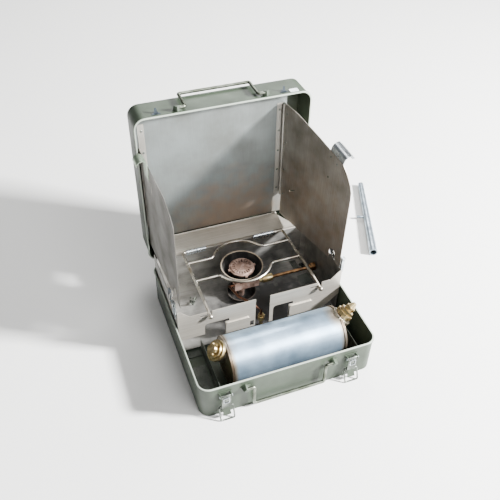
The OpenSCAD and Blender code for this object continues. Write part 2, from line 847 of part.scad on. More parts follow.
module right_hinge_leaf() {
  a = right_axis;
  x1 = a[0] + knuckle_r + 0.1;
  z = right_hinge_z;
  color("gainsboro") leaned() difference() {
    union() {
      translate([a[0], a[1], 0]) knuckles(z, 0, knuckle_r);
      tongues(z, 0, [a[0], a[1] - shield_t/2], [x1 + shield_t, a[1] + shield_t/2]);
      block([x1, a[1] - shield_t/2, z[0]], [x1 + shield_t, panel_y, z[1]]);
      block([x1 - 14, panel_y - shield_t, z[0]], [x1 + shield_t, panel_y, z[1]]);
    }
    translate([a[0], a[1], 0]) cylinder(h = big, r = wing_pin_r + fit);
    for (h = [z[0] + 14:45:z[1]]) translate([x1 - 9, panel_y + 1, h]) rotate([90, 0, 0])
      cylinder(h = 3, r = 1.5);
  }
}

module wing_hinge_pins() {
  color("silver") leaned() for (p = [[left_axis, left_leaf_z], [right_axis, right_hinge_z]])
    translate([p[0][0], p[0][1], 0]) {
      translate([0, 0, p[1][0] - 1]) cylinder(h = p[1][1] - p[1][0] + 1.8, r = wing_pin_r);
      for (z = [p[1][0] - 1, p[1][1]]) translate([0, 0, z]) cylinder(h = 1, r = 2);
    }
}

module left_wing() {
  l = wing_len;
  color("lightgray") in_left() upright_sheet(shield_t) difference() {
    polygon([[wing_s0, wing_z0], [wing_s0, left_top], [l - 44, left_top - 4], [l - 17, left_top - 19],
      [l, left_top - 33], [l, wing_z0]]);
    translate([73, left_top - 54]) square([4, 24]);
    translate([l - 34, wing_z0 - 1]) square([18, 19]);
    translate([l - 25, wing_z0 + 18]) circle(9);
  }
}

module left_wing_leaf() {
  color("gainsboro") in_left() difference() {
    union() {
      knuckles(left_leaf_z, 1, move_r);
      tongues(left_leaf_z, 1, [-shield_t*1.5, -wing_s0 - 1], [-shield_t/2, 0]);
      block([-shield_t*1.5, -wing_s0 - 12, left_leaf_z[0]], [-shield_t/2, -wing_s0, left_leaf_z[1]]);
    }
    cylinder(h = big, r = wing_pin_r + fit);
  }
}

// sheet that rises from a wing's outer face and curls over outwards, from s0 to s1
module curl(s0, s1, z0, zc, r) {
  translate([0, -s0, 0]) rotate([90, 0, 0]) linear_extrude(s1 - s0) {
    translate([shield_t/2, z0]) square([1, zc - z0 + 0.1]);
    difference() {
      translate([shield_t/2 + r, zc]) circle(r);
      translate([shield_t/2 + r, zc]) circle(r - 1);
      translate([-1, zc - 2*r]) square([3*r, 2*r]);
    }
  }
}

module left_clip() {
  color("darkseagreen") in_left() mirror([1, 0, 0]) curl(40, 66, left_top - 32, left_top + 1.5, 10);
}

module right_wing() {
  l = wing_len;
  t = right_top;
  color("lightgray") in_right() upright_sheet(shield_t) difference() {
    polygon([[wing_s0, wing_z0], [wing_s0, t - 4], [l - 158, t - 8], [l - 93, t - 23], [l - 23, t - 43],
      [l - 11, t - 55.5], [l - 1, t - 71.5], [l + 4, t - 86], [l + 4.5, t - 102], [l, wing_z0]]);
    polygon([[33, t - 190], [49, t - 179], [49, t - 176], [33, t - 187]]);
    translate([l - 34, wing_z0 - 1]) square([18, 19]);
    translate([l - 25, wing_z0 + 18]) circle(9);
  }
}

module right_wing_leaf() {
  z = right_hinge_z;
  color("gainsboro") in_right() difference() {
    union() {
      knuckles(z, 1, move_r);
      tongues(z, 1, [shield_t/2, -wing_s0 - 1], [shield_t*1.5, 0]);
      block([shield_t/2, -wing_s0 - 12, z[0]], [shield_t*1.5, -wing_s0, z[1]]);
    }
    cylinder(h = big, r = wing_pin_r + fit);
  }
}

module right_clip() {
  color("gainsboro") in_right() {
    translate([0, 61 - wing_len, right_top - 31]) rotate([17, 0, 0]) {
      curl(0, 38, -15, 6.5, 9.5);
      translate([shield_t/2 + 18, -38, 5.5]) cube([5, 38, 1]);
      for (s = [9, 29]) translate([shield_t/2 + 0.9, -s, -8]) rotate([0, 90, 0]) cylinder(h = 1.4, r = 2.5);
    }
  }
}

// sprung wire loops on the tray's sides that hold the wings from outside
module wing_catches() {
  x = tray_x + 1.4;
  y = tray_y0 + 36.7;
  z = tray_top - 37.5;
  color("silver") for (s = [0, 1]) mirror([s, 0, 0]) {
    block([tray_x, y - 12, z + 10], [tray_x + 1, y + 12, z + 28]);
    wire([[x, y - 8, z + 14], [x, y - 8, z + 45], [x - 4.6, y, z + 62],
      [x, y + 8, z + 45], [x, y + 8, z + 14]], 1.2);
  }
}

// ---- pot support ----

module side_rods() {
  z = support_z;
  e = barrels;
  wire([[e[1][0] - e[1][1] + 2, barrel_y, z], [side_rod, barrel_y, z], [side_rod + 5, rod_bends[1], z],
    ball_right], rod_r);
  wire([[e[0][0] + e[0][1] - 2, barrel_y, z], [-side_rod, barrel_y, z], [-side_rod + 2, rod_bends[0], z],
    ball_left], rod_r);
}

module pot_frame() {
  color("silver") {
    side_rods();
    for (b = [ball_left, ball_right]) translate(b) sphere(ball_r);
  }
}

module pot_crossbars() {
  dy = [-24.5, 26];
  r = rod_r - 0.2;
  color("silver") difference() {
    for (i = [0, 1]) {
      dx = sqrt(ring_r*ring_r - dy[i]*dy[i]);
      y = burner[1] + dy[i];
      a = atan2(dy[i], dx);
      x0 = -side_rod + 2*(barrel_y - y)/(barrel_y - rod_bends[0]);
      x1 = side_rod + 5*(barrel_y - y)/(barrel_y - rod_bends[1]);
      rod([x0, y, support_z], [burner[0] - dx, y, support_z], r);
      rod([burner[0] + dx, y, support_z], [x1, y, support_z], r);
      for (s = [-1, 1]) translate([burner[0] + s*dx, y, support_z]) rotate([35, 25, 0])
        sphere(r + bend_swell);
      translate([burner[0], burner[1], support_z]) rotate([0, 0, i == 0 ? 180 - a : a])
        rotate_extrude(angle = i == 0 ? 180 + 2*a : 180 - 2*a) translate([ring_r, 0]) circle(r);
    }
    rod([side_rod, barrel_y, support_z], [side_rod + 5, rod_bends[1], support_z], rod_r);
    rod([-side_rod, barrel_y, support_z], [-side_rod + 2, rod_bends[0], support_z], rod_r);
  }
}

// ---- tube spanner ----

module spanner_frame() {
  translate([spanner_at[0], spanner_at[1], spanner_r]) rotate([0, 0, spanner_dir])
    rotate([0, 90 + asin((spanner_r - spanner_end_r)/spanner_len), 0]) children();
}

module tube_spanner() {
  color("silver") spanner_frame() difference() {
    cylinder(h = spanner_len, r1 = spanner_r, r2 = spanner_end_r);
    translate([0, 0, -1]) cylinder(h = spanner_len + 2, r1 = spanner_r - 1.5, r2 = spanner_end_r - 1.5);
  }
}

module spanner_peg() {
  color("silver") spanner_frame() difference() {
    translate([0, 0, spanner_len/2 - 2]) rotate([-90, 0, 0]) cylinder(h = 24, r = peg_r);
    translate([0, 0, -1]) cylinder(h = spanner_len + 2, r1 = spanner_r + 0.012, r2 = spanner_end_r + 0.012);
  }
}

case_base();
hinge_leaves_base();
hinge_pins();
stove_tray();
front_panel();
apron();
support_barrels();
burner_bowl();
burner_body();
burner_cap();
priming_cup();
fuel_pipe();
pipe_union();
tank_bearers();
tank_saddles();
floor_plates();
tray_screws();
tray_hatch();
base_handle_brackets();
latch_plates();
latch_pins();
wing_catches();
spindle_gland();
tube_spanner();
spanner_peg();
case_lid();
hinge_leaves_lid();
back_panel();
left_hinge_leaf();
right_hinge_leaf();
wing_hinge_pins();
lid_handle_brackets();
lid_strikers();
label_plate();
left_wing();
left_wing_leaf();
left_clip();
right_wing();
right_wing_leaf();
right_clip();
pot_frame();
pot_crossbars();
base_handle();
lid_handle();
lever_left();
lever_right();
loop_left();
loop_right();
tank_shell();
tank_ends();
filler_neck();
filler_gasket();
filler_cap();
valve_socket();
valve_tail();
valve_nut();
regulator_spindle();
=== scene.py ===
import bpy
import bmesh
from math import radians, degrees, sin, cos, tan, atan2, sqrt, pi
from mathutils import Vector, Matrix


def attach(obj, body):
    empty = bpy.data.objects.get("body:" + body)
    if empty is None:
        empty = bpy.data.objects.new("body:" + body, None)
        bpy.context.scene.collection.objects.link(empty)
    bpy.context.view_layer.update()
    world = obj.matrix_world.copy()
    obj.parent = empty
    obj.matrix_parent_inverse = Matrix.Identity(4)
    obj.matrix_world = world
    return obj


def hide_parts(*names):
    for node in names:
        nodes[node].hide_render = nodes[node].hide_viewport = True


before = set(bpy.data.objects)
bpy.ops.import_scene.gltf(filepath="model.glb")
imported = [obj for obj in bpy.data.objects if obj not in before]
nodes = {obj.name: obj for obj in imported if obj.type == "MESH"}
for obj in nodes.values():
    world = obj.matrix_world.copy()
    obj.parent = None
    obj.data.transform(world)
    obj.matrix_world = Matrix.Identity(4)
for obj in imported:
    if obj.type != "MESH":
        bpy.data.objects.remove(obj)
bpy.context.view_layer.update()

mm = 0.001
bpy.ops.object.select_all(action="DESELECT")
print("frame loaded")


def toLinear(hexColour):
    parts = [int(hexColour[i:i + 2], 16) / 255 for i in (1, 3, 5)]
    return tuple(p / 12.92 if p <= 0.04045 else ((p + 0.055) / 1.055) ** 2.4 for p in parts) + (1.0,)


def addNode(finish, kind, inputs, **settings):
    # adds a node, sets its options, then gives each input a value or a link
    # in a MapRange 1 and 2 are the range read, 3 and 4 the range given; in a Mix 6 and 7 are the colours
    node = finish.node_tree.nodes.new("ShaderNode" + kind)
    for key, value in settings.items():
        setattr(node, key, value)
    for key, value in inputs.items():
        if isinstance(value, bpy.types.NodeSocket):
            finish.node_tree.links.new(value, node.inputs[key])
        else:
            node.inputs[key].default_value = value
    return node


def newFinish(name):
    finish = bpy.data.materials.new(name)
    finish.use_nodes = True
    finish.node_tree.nodes.clear()
    return finish, addNode(finish, "TexCoord", {}).outputs["Object"]


def closeFinish(finish, colour, roughness, height, metallic, bumpMm):
    bump = addNode(finish, "Bump", {"Strength": 0.5, "Distance": bumpMm * mm, "Height": height})
    shader = addNode(finish, "BsdfPrincipled", {"Base Color": colour, "Roughness": roughness,
        "Metallic": metallic, "Normal": bump.outputs[0]})
    addNode(finish, "OutputMaterial", {"Surface": shader.outputs[0]})
    return finish


def dress(finish, *names):
    for name in names:
        nodes[name].data.materials.clear()
        nodes[name].data.materials.append(finish)


# stoving paint: a satin skin, slightly mottled and dusty, pale along the rolled rim, which is partly rubbed
# wear and partly a painted highlight on the bead
paintLook = {"paint": "#333e30", "faded": "#2a3327", "dust": "#21231c", "rimWearAndHighlight": "#a2aa9e",
             "patchMm": 55, "speckMm": 2.2, "rimMm": 1.7, "softMm": 1.2, "dusty": 0.45, "rimWearAndHighlightAmount": 0.75,
             "smooth": 0.46, "coarse": 0.62, "bumpMm": 0.12}


def stovingPaint(name, rimDirection, rimAt):
    finish, place = newFinish(name)
    look = paintLook
    patch = addNode(finish, "TexNoise", {"Vector": place, "Scale": 1000 / look["patchMm"], "Detail": 6.0})
    speck = addNode(finish, "TexNoise", {"Vector": place, "Scale": 1000 / look["speckMm"], "Detail": 2.0})
    patchy = addNode(finish, "MapRange", {0: patch.outputs[0], 1: 0.35, 2: 0.65})
    dusty = addNode(finish, "MapRange", {0: speck.outputs[0], 1: 0.6, 2: 0.75, 4: look["dusty"]})
    tone = addNode(finish, "Mix", {0: patchy.outputs[0], 6: toLinear(look["paint"]),
        7: toLinear(look["faded"])}, data_type="RGBA")
    worked = addNode(finish, "Mix", {0: dusty.outputs[0], 6: tone.outputs[2],
        7: toLinear(look["dust"])}, data_type="RGBA")
    # the pale band along the rim: partly wear, partly painted highlight
    along = addNode(finish, "VectorMath", {0: place, 1: rimDirection}, operation="DOT_PRODUCT")
    rimWearAndHighlightLine = addNode(finish, "MapRange", {0: along.outputs["Value"], 1: rimAt - look["rimMm"] * mm,
        2: rimAt - (look["rimMm"] - look["softMm"]) * mm, 4: look["rimWearAndHighlightAmount"]})
    colour = addNode(finish, "Mix", {0: rimWearAndHighlightLine.outputs[0], 6: worked.outputs[2],
        7: toLinear(look["rimWearAndHighlight"])}, data_type="RGBA")
    rough = addNode(finish, "MapRange", {0: patch.outputs[0], 1: 0.3, 2: 0.7, 3: look["smooth"],
        4: look["coarse"]})
    return closeFinish(finish, colour.outputs[2], rough.outputs[0], speck.outputs[0], 0.0, look["bumpMm"])


# cold-rolled stainless sheet: grain runs one way, dulled in clouds, browned where the flame heats it; on the
# tray the same dark patch is painted shade
sheetLook = {"grainMm": 0.9, "runMm": 80, "cloudMm": 55, "stainMm": 22, "wanderMm": 50, "heatAndShadeDepth": 0.6,
             "streak": 0.5, "smooth": 0.34, "coarse": 0.5, "bumpMm": 0.05, "metal": 0.7}


def rolledStainless(name, tones, grainAlong, heatTintAndShadeAt, heatTintAndShadeMm, dullness):
    finish, place = newFinish(name)
    look = {**sheetLook, **tones}
    grainScale = [1000 / look["grainMm"]] * 3
    grainScale[grainAlong] = 1000 / look["runMm"]
    stretched = addNode(finish, "Mapping", {"Vector": place, "Scale": grainScale})
    grain = addNode(finish, "TexNoise", {"Vector": stretched.outputs[0], "Scale": 1.0, "Detail": 3.0})
    cloud = addNode(finish, "TexNoise", {"Vector": place, "Scale": 1000 / look["cloudMm"], "Detail": 6.0})
    stain = addNode(finish, "TexNoise", {"Vector": place, "Scale": 1000 / look["stainMm"], "Detail": 8.0})
    fine = addNode(finish, "MapRange", {0: grain.outputs[0], 1: 0.3, 2: 0.7, 4: look["streak"]})
    cloudy = addNode(finish, "MapRange", {0: cloud.outputs[0], 1: 0.35, 2: 0.68, 4: dullness})
    sheet = addNode(finish, "Mix", {0: fine.outputs[0], 6: toLinear(look["sheet"]),
        7: toLinear(look["dull"])}, data_type="RGBA")
    dulled = addNode(finish, "Mix", {0: cloudy.outputs[0], 6: sheet.outputs[2],
        7: toLinear(look["dull"])}, data_type="RGBA")
    # a dark patch round a point: heat tint on most sheets, painted shade on the tray
    away = addNode(finish, "VectorMath", {0: place, 1: [c * mm for c in heatTintAndShadeAt]}, operation="DISTANCE")
    wander = addNode(finish, "MapRange", {0: stain.outputs[0], 1: 0.2, 2: 0.8,
        3: -look["wanderMm"] * mm, 4: look["wanderMm"] * mm})
    edge = addNode(finish, "Math", {0: away.outputs["Value"], 1: wander.outputs[0]}, operation="ADD")
    heat = addNode(finish, "MapRange", {0: edge.outputs[0], 1: heatTintAndShadeMm * 0.35 * mm, 2: heatTintAndShadeMm * mm,
        3: look["heatAndShadeDepth"], 4: 0.0})
    colour = addNode(finish, "Mix", {0: heat.outputs[0], 6: dulled.outputs[2],
        7: toLinear(look["heatAndShadeTint"])}, data_type="RGBA")
    rough = addNode(finish, "MapRange", {0: cloud.outputs[0], 1: 0.3, 2: 0.7, 3: look["smooth"],
        4: look["coarse"]})
    return closeFinish(finish, colour.outputs[2], rough.outputs[0], grain.outputs[0], look["metal"],
        look["bumpMm"])


# drawn stainless tube: bright and brushed lengthwise, its bluish tint a painted reflection of the sky, straw
# and brown oxide beside every weld
tubeLook = {"skyTintedSkin": "#c4dff8", "skyTintedDull": "#93adc6", "straw": "#a8987c", "oxide": "#64503c", "grainMm": 0.8,
            "runMm": 110, "cloudMm": 40, "leftWeld": -97, "rightWeld": 120, "weldMm": 9,
            "filler": (-99, -91, 67), "valve": (121, -91, 74), "neckMm": 34, "strawed": 0.8,
            "oxidised": 0.85, "smooth": 0.34, "coarse": 0.42, "bumpMm": 0.012, "metal": 0.92}


def drawnTube(name):
    finish, place = newFinish(name)
    look = tubeLook
    stretched = addNode(finish, "Mapping", {"Vector": place, "Scale": (1000 / look["runMm"],
        1000 / look["grainMm"], 1000 / look["grainMm"])})
    grain = addNode(finish, "TexNoise", {"Vector": stretched.outputs[0], "Scale": 1.0, "Detail": 3.0})
    cloud = addNode(finish, "TexNoise", {"Vector": place, "Scale": 1000 / look["cloudMm"], "Detail": 6.0})
    cloudy = addNode(finish, "MapRange", {0: cloud.outputs[0], 1: 0.35, 2: 0.7})
    # both tones are tinted blue as a painted sky reflection
    skyTintedSkin = addNode(finish, "Mix", {0: cloudy.outputs[0], 6: toLinear(look["skyTintedSkin"]),
        7: toLinear(look["skyTintedDull"])}, data_type="RGBA")
    across = addNode(finish, "SeparateXYZ", {0: place})
    heatLeft = addNode(finish, "MapRange", {0: across.outputs[0], 1: look["leftWeld"] * mm,
        2: (look["leftWeld"] + look["weldMm"]) * mm, 3: 1.0, 4: 0.0})
    heatRight = addNode(finish, "MapRange", {0: across.outputs[0],
        1: (look["rightWeld"] - look["weldMm"]) * mm, 2: look["rightWeld"] * mm})
    heat = addNode(finish, "Math", {0: heatLeft.outputs[0], 1: heatRight.outputs[0]}, operation="MAXIMUM")
    for neck in ("filler", "valve"):
        away = addNode(finish, "VectorMath", {0: place, 1: [c * mm for c in look[neck]]},
            operation="DISTANCE")
        near = addNode(finish, "MapRange", {0: away.outputs["Value"], 1: look["neckMm"] * 0.5 * mm,
            2: look["neckMm"] * mm, 3: 1.0, 4: 0.0})
        heat = addNode(finish, "Math", {0: heat.outputs[0], 1: near.outputs[0]}, operation="MAXIMUM")
    ragged = addNode(finish, "MapRange", {0: cloud.outputs[0], 1: 0.3, 2: 0.65, 3: 0.55, 4: 1.0})
    uneven = addNode(finish, "Math", {0: heat.outputs[0], 1: ragged.outputs[0]}, operation="MULTIPLY")
    strawPart = addNode(finish, "MapRange", {0: uneven.outputs[0], 1: 0.0, 2: 0.5, 4: look["strawed"]})
    oxidePart = addNode(finish, "MapRange", {0: uneven.outputs[0], 1: 0.45, 2: 0.9, 4: look["oxidised"]})
    straw = addNode(finish, "Mix", {0: strawPart.outputs[0], 6: skyTintedSkin.outputs[2],
        7: toLinear(look["straw"])}, data_type="RGBA")
    colour = addNode(finish, "Mix", {0: oxidePart.outputs[0], 6: straw.outputs[2],
        7: toLinear(look["oxide"])}, data_type="RGBA")
    rough = addNode(finish, "MapRange", {0: grain.outputs[0], 1: 0.3, 2: 0.7, 3: look["smooth"],
        4: look["coarse"]})
    return closeFinish(finish, colour.outputs[2], rough.outputs[0], grain.outputs[0], look["metal"],
        look["bumpMm"])


def agedMetal(name, look):
    # one metal, tarnished in patches, with small pits that hold dirt
    finish, place = newFinish(name)
    patch = addNode(finish, "TexNoise", {"Vector": place, "Scale": 1000 / look["patchMm"], "Detail": 6.0})
    pits = addNode(finish, "TexNoise", {"Vector": place, "Scale": 1000 / look["pitMm"], "Detail": 3.0})
    patchy = addNode(finish, "MapRange", {0: patch.outputs[0], 1: 0.38, 2: 0.62})
    pitted = addNode(finish, "MapRange", {0: pits.outputs[0], 1: 0.58, 2: 0.72, 4: look["dirt"]})
    tone = addNode(finish, "Mix", {0: patchy.outputs[0], 6: toLinear(look["clean"]),
        7: toLinear(look["tarnish"])}, data_type="RGBA")
    colour = addNode(finish, "Mix", {0: pitted.outputs[0], 6: tone.outputs[2],
        7: toLinear(look["dark"])}, data_type="RGBA")
    rough = addNode(finish, "MapRange", {0: patch.outputs[0], 1: 0.3, 2: 0.7, 3: look["smooth"],
        4: look["coarse"]})
    return closeFinish(finish, colour.outputs[2], rough.outputs[0], pits.outputs[0], look["metal"],
        look["pitDepthMm"])


# turned brass: yellow where it is handled, brown in its corners
brassLook = {"clean": "#cbb98c", "tarnish": "#8f7b57", "dark": "#3c3424", "patchMm": 12, "pitMm": 1.2,
             "dirt": 0.6, "smooth": 0.26, "coarse": 0.46, "pitDepthMm": 0.06, "metal": 1.0}
# nickelled brass: a pale, slightly yellow silver where the plating has thinned
nickelLook = {"clean": "#c6c1b2", "tarnish": "#8f8670", "dark": "#38352e", "patchMm": 8, "pitMm": 1.2,
              "dirt": 0.6, "smooth": 0.24, "coarse": 0.42, "pitDepthMm": 0.05, "metal": 1.0}
# brass browned by heat: copper-brown with little shine
brownedLook = {"clean": "#94714f", "tarnish": "#5f4832", "dark": "#2b231b", "patchMm": 14, "pitMm": 1.2,
               "dirt": 0.6, "smooth": 0.32, "coarse": 0.5, "pitDepthMm": 0.06, "metal": 1.0}
# cast bronze burnt by the flame: dull pinkish brown
bronzeLook = {"clean": "#b89c90", "tarnish": "#7b6458", "dark": "#2e2622", "patchMm": 12, "pitMm": 1.0,
              "dirt": 0.7, "smooth": 0.45, "coarse": 0.7, "pitDepthMm": 0.1, "metal": 0.8}
# drawn copper tube: reddish brown, darkened by heat
copperLook = {"clean": "#7e5744", "tarnish": "#4b382e", "dark": "#2c2220", "patchMm": 18, "pitMm": 1.5,
              "dirt": 0.5, "smooth": 0.3, "coarse": 0.5, "pitDepthMm": 0.05, "metal": 1.0}
# drawn stainless wire: warm grey
wireLook = {"clean": "#d0ccc3", "tarnish": "#958c7e", "dark": "#4d4438", "patchMm": 30, "pitMm": 1.6,
            "dirt": 0.4, "smooth": 0.22, "coarse": 0.4, "pitDepthMm": 0.04, "metal": 1.0}
# bright zinc plating: pale, slightly cloudy
platedLook = {"clean": "#7a7f79", "tarnish": "#4b504a", "dark": "#31352f", "patchMm": 16, "pitMm": 1.2,
              "dirt": 0.45, "smooth": 0.22, "coarse": 0.42, "pitDepthMm": 0.05, "metal": 1.0}
# bright zinc plating where it is still new: pale and bluish
brightPlatedLook = {"clean": "#dfe6ea", "tarnish": "#a8afb3", "dark": "#4d5356", "patchMm": 12, "pitMm": 1.2,
                    "dirt": 0.4, "smooth": 0.2, "coarse": 0.38, "pitDepthMm": 0.04, "metal": 1.0}
# nickelled steel wire worn by the hand; its dark green-grey tones are partly its own colour and partly
# painted shade
shadedHandleLook = {"clean": "#7d8277", "tarnish": "#4d5246", "dark": "#33372d", "patchMm": 25, "pitMm": 2.0,
              "dirt": 0.5, "smooth": 0.26, "coarse": 0.44, "pitDepthMm": 0.05, "metal": 1.0}
# galvanised tube: blue-grey, weathered
galvanisedLook = {"clean": "#b4c0c9", "tarnish": "#85919a", "dark": "#3a4046", "patchMm": 20, "pitMm": 1.8,
                  "dirt": 0.6, "smooth": 0.32, "coarse": 0.55, "pitDepthMm": 0.08, "metal": 1.0}
# spring strip with a green chromate skin
springLook = {"clean": "#b7c6b2", "tarnish": "#8b9a86", "dark": "#4d574a", "patchMm": 14, "pitMm": 1.5,
              "dirt": 0.5, "smooth": 0.35, "coarse": 0.5, "pitDepthMm": 0.05, "metal": 1.0}
# mild steel plate, phosphated: dark grey and matt
phosphateLook = {"clean": "#565a55", "tarnish": "#3b3f3a", "dark": "#232522", "patchMm": 35, "pitMm": 2.0,
                 "dirt": 0.6, "smooth": 0.45, "coarse": 0.65, "pitDepthMm": 0.06, "metal": 0.5}
# blued spring steel: dark blue-grey with a thin sheen
bluedLook = {"clean": "#3d474e", "tarnish": "#2a3136", "dark": "#1a1d1f", "patchMm": 12, "pitMm": 1.2,
             "dirt": 0.4, "smooth": 0.35, "coarse": 0.55, "pitDepthMm": 0.04, "metal": 0.6}
# machined steel neck, bright ring under a brown film
neckLook = {"clean": "#b8b4a8", "tarnish": "#7c705c", "dark": "#2b2a26", "patchMm": 9, "pitMm": 1.2,
            "dirt": 0.6, "smooth": 0.3, "coarse": 0.5, "pitDepthMm": 0.06, "metal": 1.0}
# moulded nitrile rubber: near black, matt
rubberLook = {"clean": "#1d1d1c", "tarnish": "#2b2a28", "dark": "#111111", "patchMm": 8, "pitMm": 0.8,
              "dirt": 0.4, "smooth": 0.6, "coarse": 0.8, "pitDepthMm": 0.04, "metal": 0.0}
# varnished paper label, blank and slightly yellowed
paperLook = {"clean": "#e3e8ea", "tarnish": "#cdd3d4", "dark": "#9aa09f", "patchMm": 9, "pitMm": 1.2,
             "dirt": 0.3, "smooth": 0.4, "coarse": 0.55, "pitDepthMm": 0.03, "metal": 0.0}
# weld bead: rippled and oxidised brown
weldLook = {"clean": "#847868", "tarnish": "#54493d", "dark": "#2a231c", "patchMm": 7, "pitMm": 1.0,
            "dirt": 0.6, "smooth": 0.35, "coarse": 0.6, "pitDepthMm": 0.08, "metal": 1.0}

# thin steel dish: black with soot that turns to ash, rubbed bright along its lip
sootLook = {"soot": "#1a1918", "ash": "#3c3936", "patchMm": 14, "grainMm": 1.0, "lipMm": 1.2,
            "smooth": 0.4, "coarse": 0.75, "bumpMm": 0.1, "metal": 0.6}


def sootedSteel(name, lipHeight, lipColour):
    finish, place = newFinish(name)
    look = sootLook
    patch = addNode(finish, "TexNoise", {"Vector": place, "Scale": 1000 / look["patchMm"], "Detail": 7.0})
    grain = addNode(finish, "TexNoise", {"Vector": place, "Scale": 1000 / look["grainMm"], "Detail": 2.0})
    height = addNode(finish, "SeparateXYZ", {0: place})
    ashy = addNode(finish, "MapRange", {0: patch.outputs[0], 1: 0.45, 2: 0.7})
    tone = addNode(finish, "Mix", {0: ashy.outputs[0], 6: toLinear(look["soot"]),
        7: toLinear(look["ash"])}, data_type="RGBA")
    lip = addNode(finish, "MapRange", {0: height.outputs[2], 1: lipHeight - look["lipMm"] * mm,
        2: lipHeight - look["lipMm"] * 0.3 * mm})
    colour = addNode(finish, "Mix", {0: lip.outputs[0], 6: tone.outputs[2],
        7: toLinear(lipColour)}, data_type="RGBA")
    rough = addNode(finish, "MapRange", {0: lip.outputs[0], 3: look["coarse"], 4: look["smooth"]})
    return closeFinish(finish, colour.outputs[2], rough.outputs[0], grain.outputs[0], look["metal"],
        look["bumpMm"])


# the lid stands open, leant back a little about its hinge
leanDegrees = 1.6
lean = radians(leanDegrees)
lidHinge = Vector((0, 169, 65.6)) * mm
baseRimHeight = 77
lidRimRise = 11.7  # how far the closed lid's rim stands above its hinge line
lidRimDirection = Vector((0.0, -cos(lean), sin(lean)))
lidRimAt = lidRimDirection.dot(lidHinge) - lidRimRise * mm
paintBase = stovingPaint("stovingPaintBase", (0.0, 0.0, 1.0), baseRimHeight * mm)
paintLid = stovingPaint("stovingPaintLid", lidRimDirection, lidRimAt)
brass = agedMetal("turnedBrass", brassLook)
plated = agedMetal("zincPlatedSteel", platedLook)
brightPlated = agedMetal("brightZincPlate", brightPlatedLook)
drawnWire = agedMetal("drawnStainlessWire", wireLook)
shadedHandleWire = agedMetal("nickelledHandleWirePaintedShade", shadedHandleLook)
phosphated = agedMetal("phosphatedPlate", phosphateLook)
weldMetal = agedMetal("weldBeadMetal", weldLook)
blued = agedMetal("bluedSpringSteel", bluedLook)

# each sheet: its tones, which way the grain runs (0 across, 2 upright), where the flame browns it (on the
# tray, where its painted shade is darkest instead), how far that reaches in mm, and how much of it has
# dulled
flameAt = (-3, 89, 60)
wingTones = {"sheet": "#aaa49c", "dull": "#60594f", "heatAndShadeTint": "#86705b"}
# the left wing: a darker copy of the wings' stainless, painted shade
shadedLeftWingTones = {"sheet": "#7c7973", "dull": "#433f39", "heatAndShadeTint": "#6b5b4b"}
panelTones = {"sheet": "#6d7372", "dull": "#48463f", "heatAndShadeTint": "#7f6650", "streak": 0.2, "metal": 0.4}
# the tray: a light sheet tone as painted light on its left, and a near black patch centred behind the front
# panel as painted shade, with some soot toward the burner
litAndShadedTrayTones = {"sheet": "#b3b1ac", "dull": "#6d6b66", "heatAndShadeTint": "#2c2c2e", "heatAndShadeDepth": 0.92}
# the apron, front panel and hem: a lighter copy of the stainless, painted reflection of the sky
skyLitTones = {"sheet": "#c9c4ba", "dull": "#8d8578", "heatAndShadeTint": "#8a745f"}
hingeTones = {"sheet": "#a5a29b", "dull": "#716d65", "heatAndShadeTint": "#6f5c48"}
wingSheet = rolledStainless("rolledStainlessWings", wingTones, 2, (60, 60, 170), 160, 0.75)
shadedLeftWingSheet = rolledStainless("rolledStainlessLeftWingPaintedShade", shadedLeftWingTones, 2, (60, 60, 170), 160, 0.75)
panelSheet = rolledStainless("rolledStainlessBack", panelTones, 2, (20, 180, 100), 150, 0.5)
litAndShadedTraySheet = rolledStainless("rolledStainlessTrayPaintedLightAndShade", litAndShadedTrayTones, 0, (35, 25, 10), 205, 0.45)
skyLitSheet = rolledStainless("rolledStainlessFrontPaintedReflection", skyLitTones, 0, flameAt, 60, 0.35)
hingeSheet = rolledStainless("rolledStainlessHinges", hingeTones, 2, flameAt, 60, 0.5)
dress(paintBase, "case_base", "hinge_leaves_base", "base_handle_brackets", "latch_plates")
dress(paintLid, "case_lid", "hinge_leaves_lid", "lid_handle_brackets")
dress(litAndShadedTraySheet, "stove_tray")
dress(skyLitSheet, "apron", "front_panel")
dress(panelSheet, "back_panel")
dress(wingSheet, "right_wing")
dress(shadedLeftWingSheet, "left_wing")
dress(hingeSheet, "left_hinge_leaf", "right_hinge_leaf", "left_wing_leaf", "right_wing_leaf")
dress(drawnTube("drawnTankTubeSkyTinted"), "tank_shell", "tank_ends")
dress(brass, "pipe_union", "spindle_gland", "filler_cap", "valve_tail", "valve_nut")
nickelled = agedMetal("nickelledBrass", nickelLook)
dress(nickelled, "valve_socket")
dress(agedMetal("castBronze", bronzeLook), "burner_body", "burner_cap")
dress(agedMetal("brownedBrass", brownedLook), "regulator_spindle")
dress(agedMetal("drawnCopperTube", copperLook), "fuel_pipe")
dress(drawnWire, "pot_frame", "pot_crossbars", "wing_catches")
dress(plated, "hinge_pins", "wing_hinge_pins", "lever_left", "lever_right", "loop_left", "loop_right",
      "lid_strikers", "tray_screws")
dress(brightPlated, "latch_pins", "right_clip", "support_barrels")
dress(shadedHandleWire, "base_handle", "lid_handle")
dress(agedMetal("galvanisedTube", galvanisedLook), "tube_spanner", "spanner_peg")
dress(agedMetal("chromatedSpring", springLook), "left_clip")
dress(phosphated, "tank_bearers", "tank_saddles", "floor_plates", "tray_hatch")
dress(agedMetal("machinedNeck", neckLook), "filler_neck")
dress(agedMetal("nitrileRubber", rubberLook), "filler_gasket")
varnishedPaper = agedMetal("varnishedPaper", paperLook)
dress(varnishedPaper, "label_plate")
soots = {"burner_bowl": ("sootedBowlSteel", 93, "#a89a88"),
         "priming_cup": ("sootedCupSteel", 21.5, "#4a4641")}
for dish, (finishName, lipHeight, lipColour) in soots.items():
    dress(sootedSteel(finishName, lipHeight * mm, lipColour), dish)
print("finishes made")

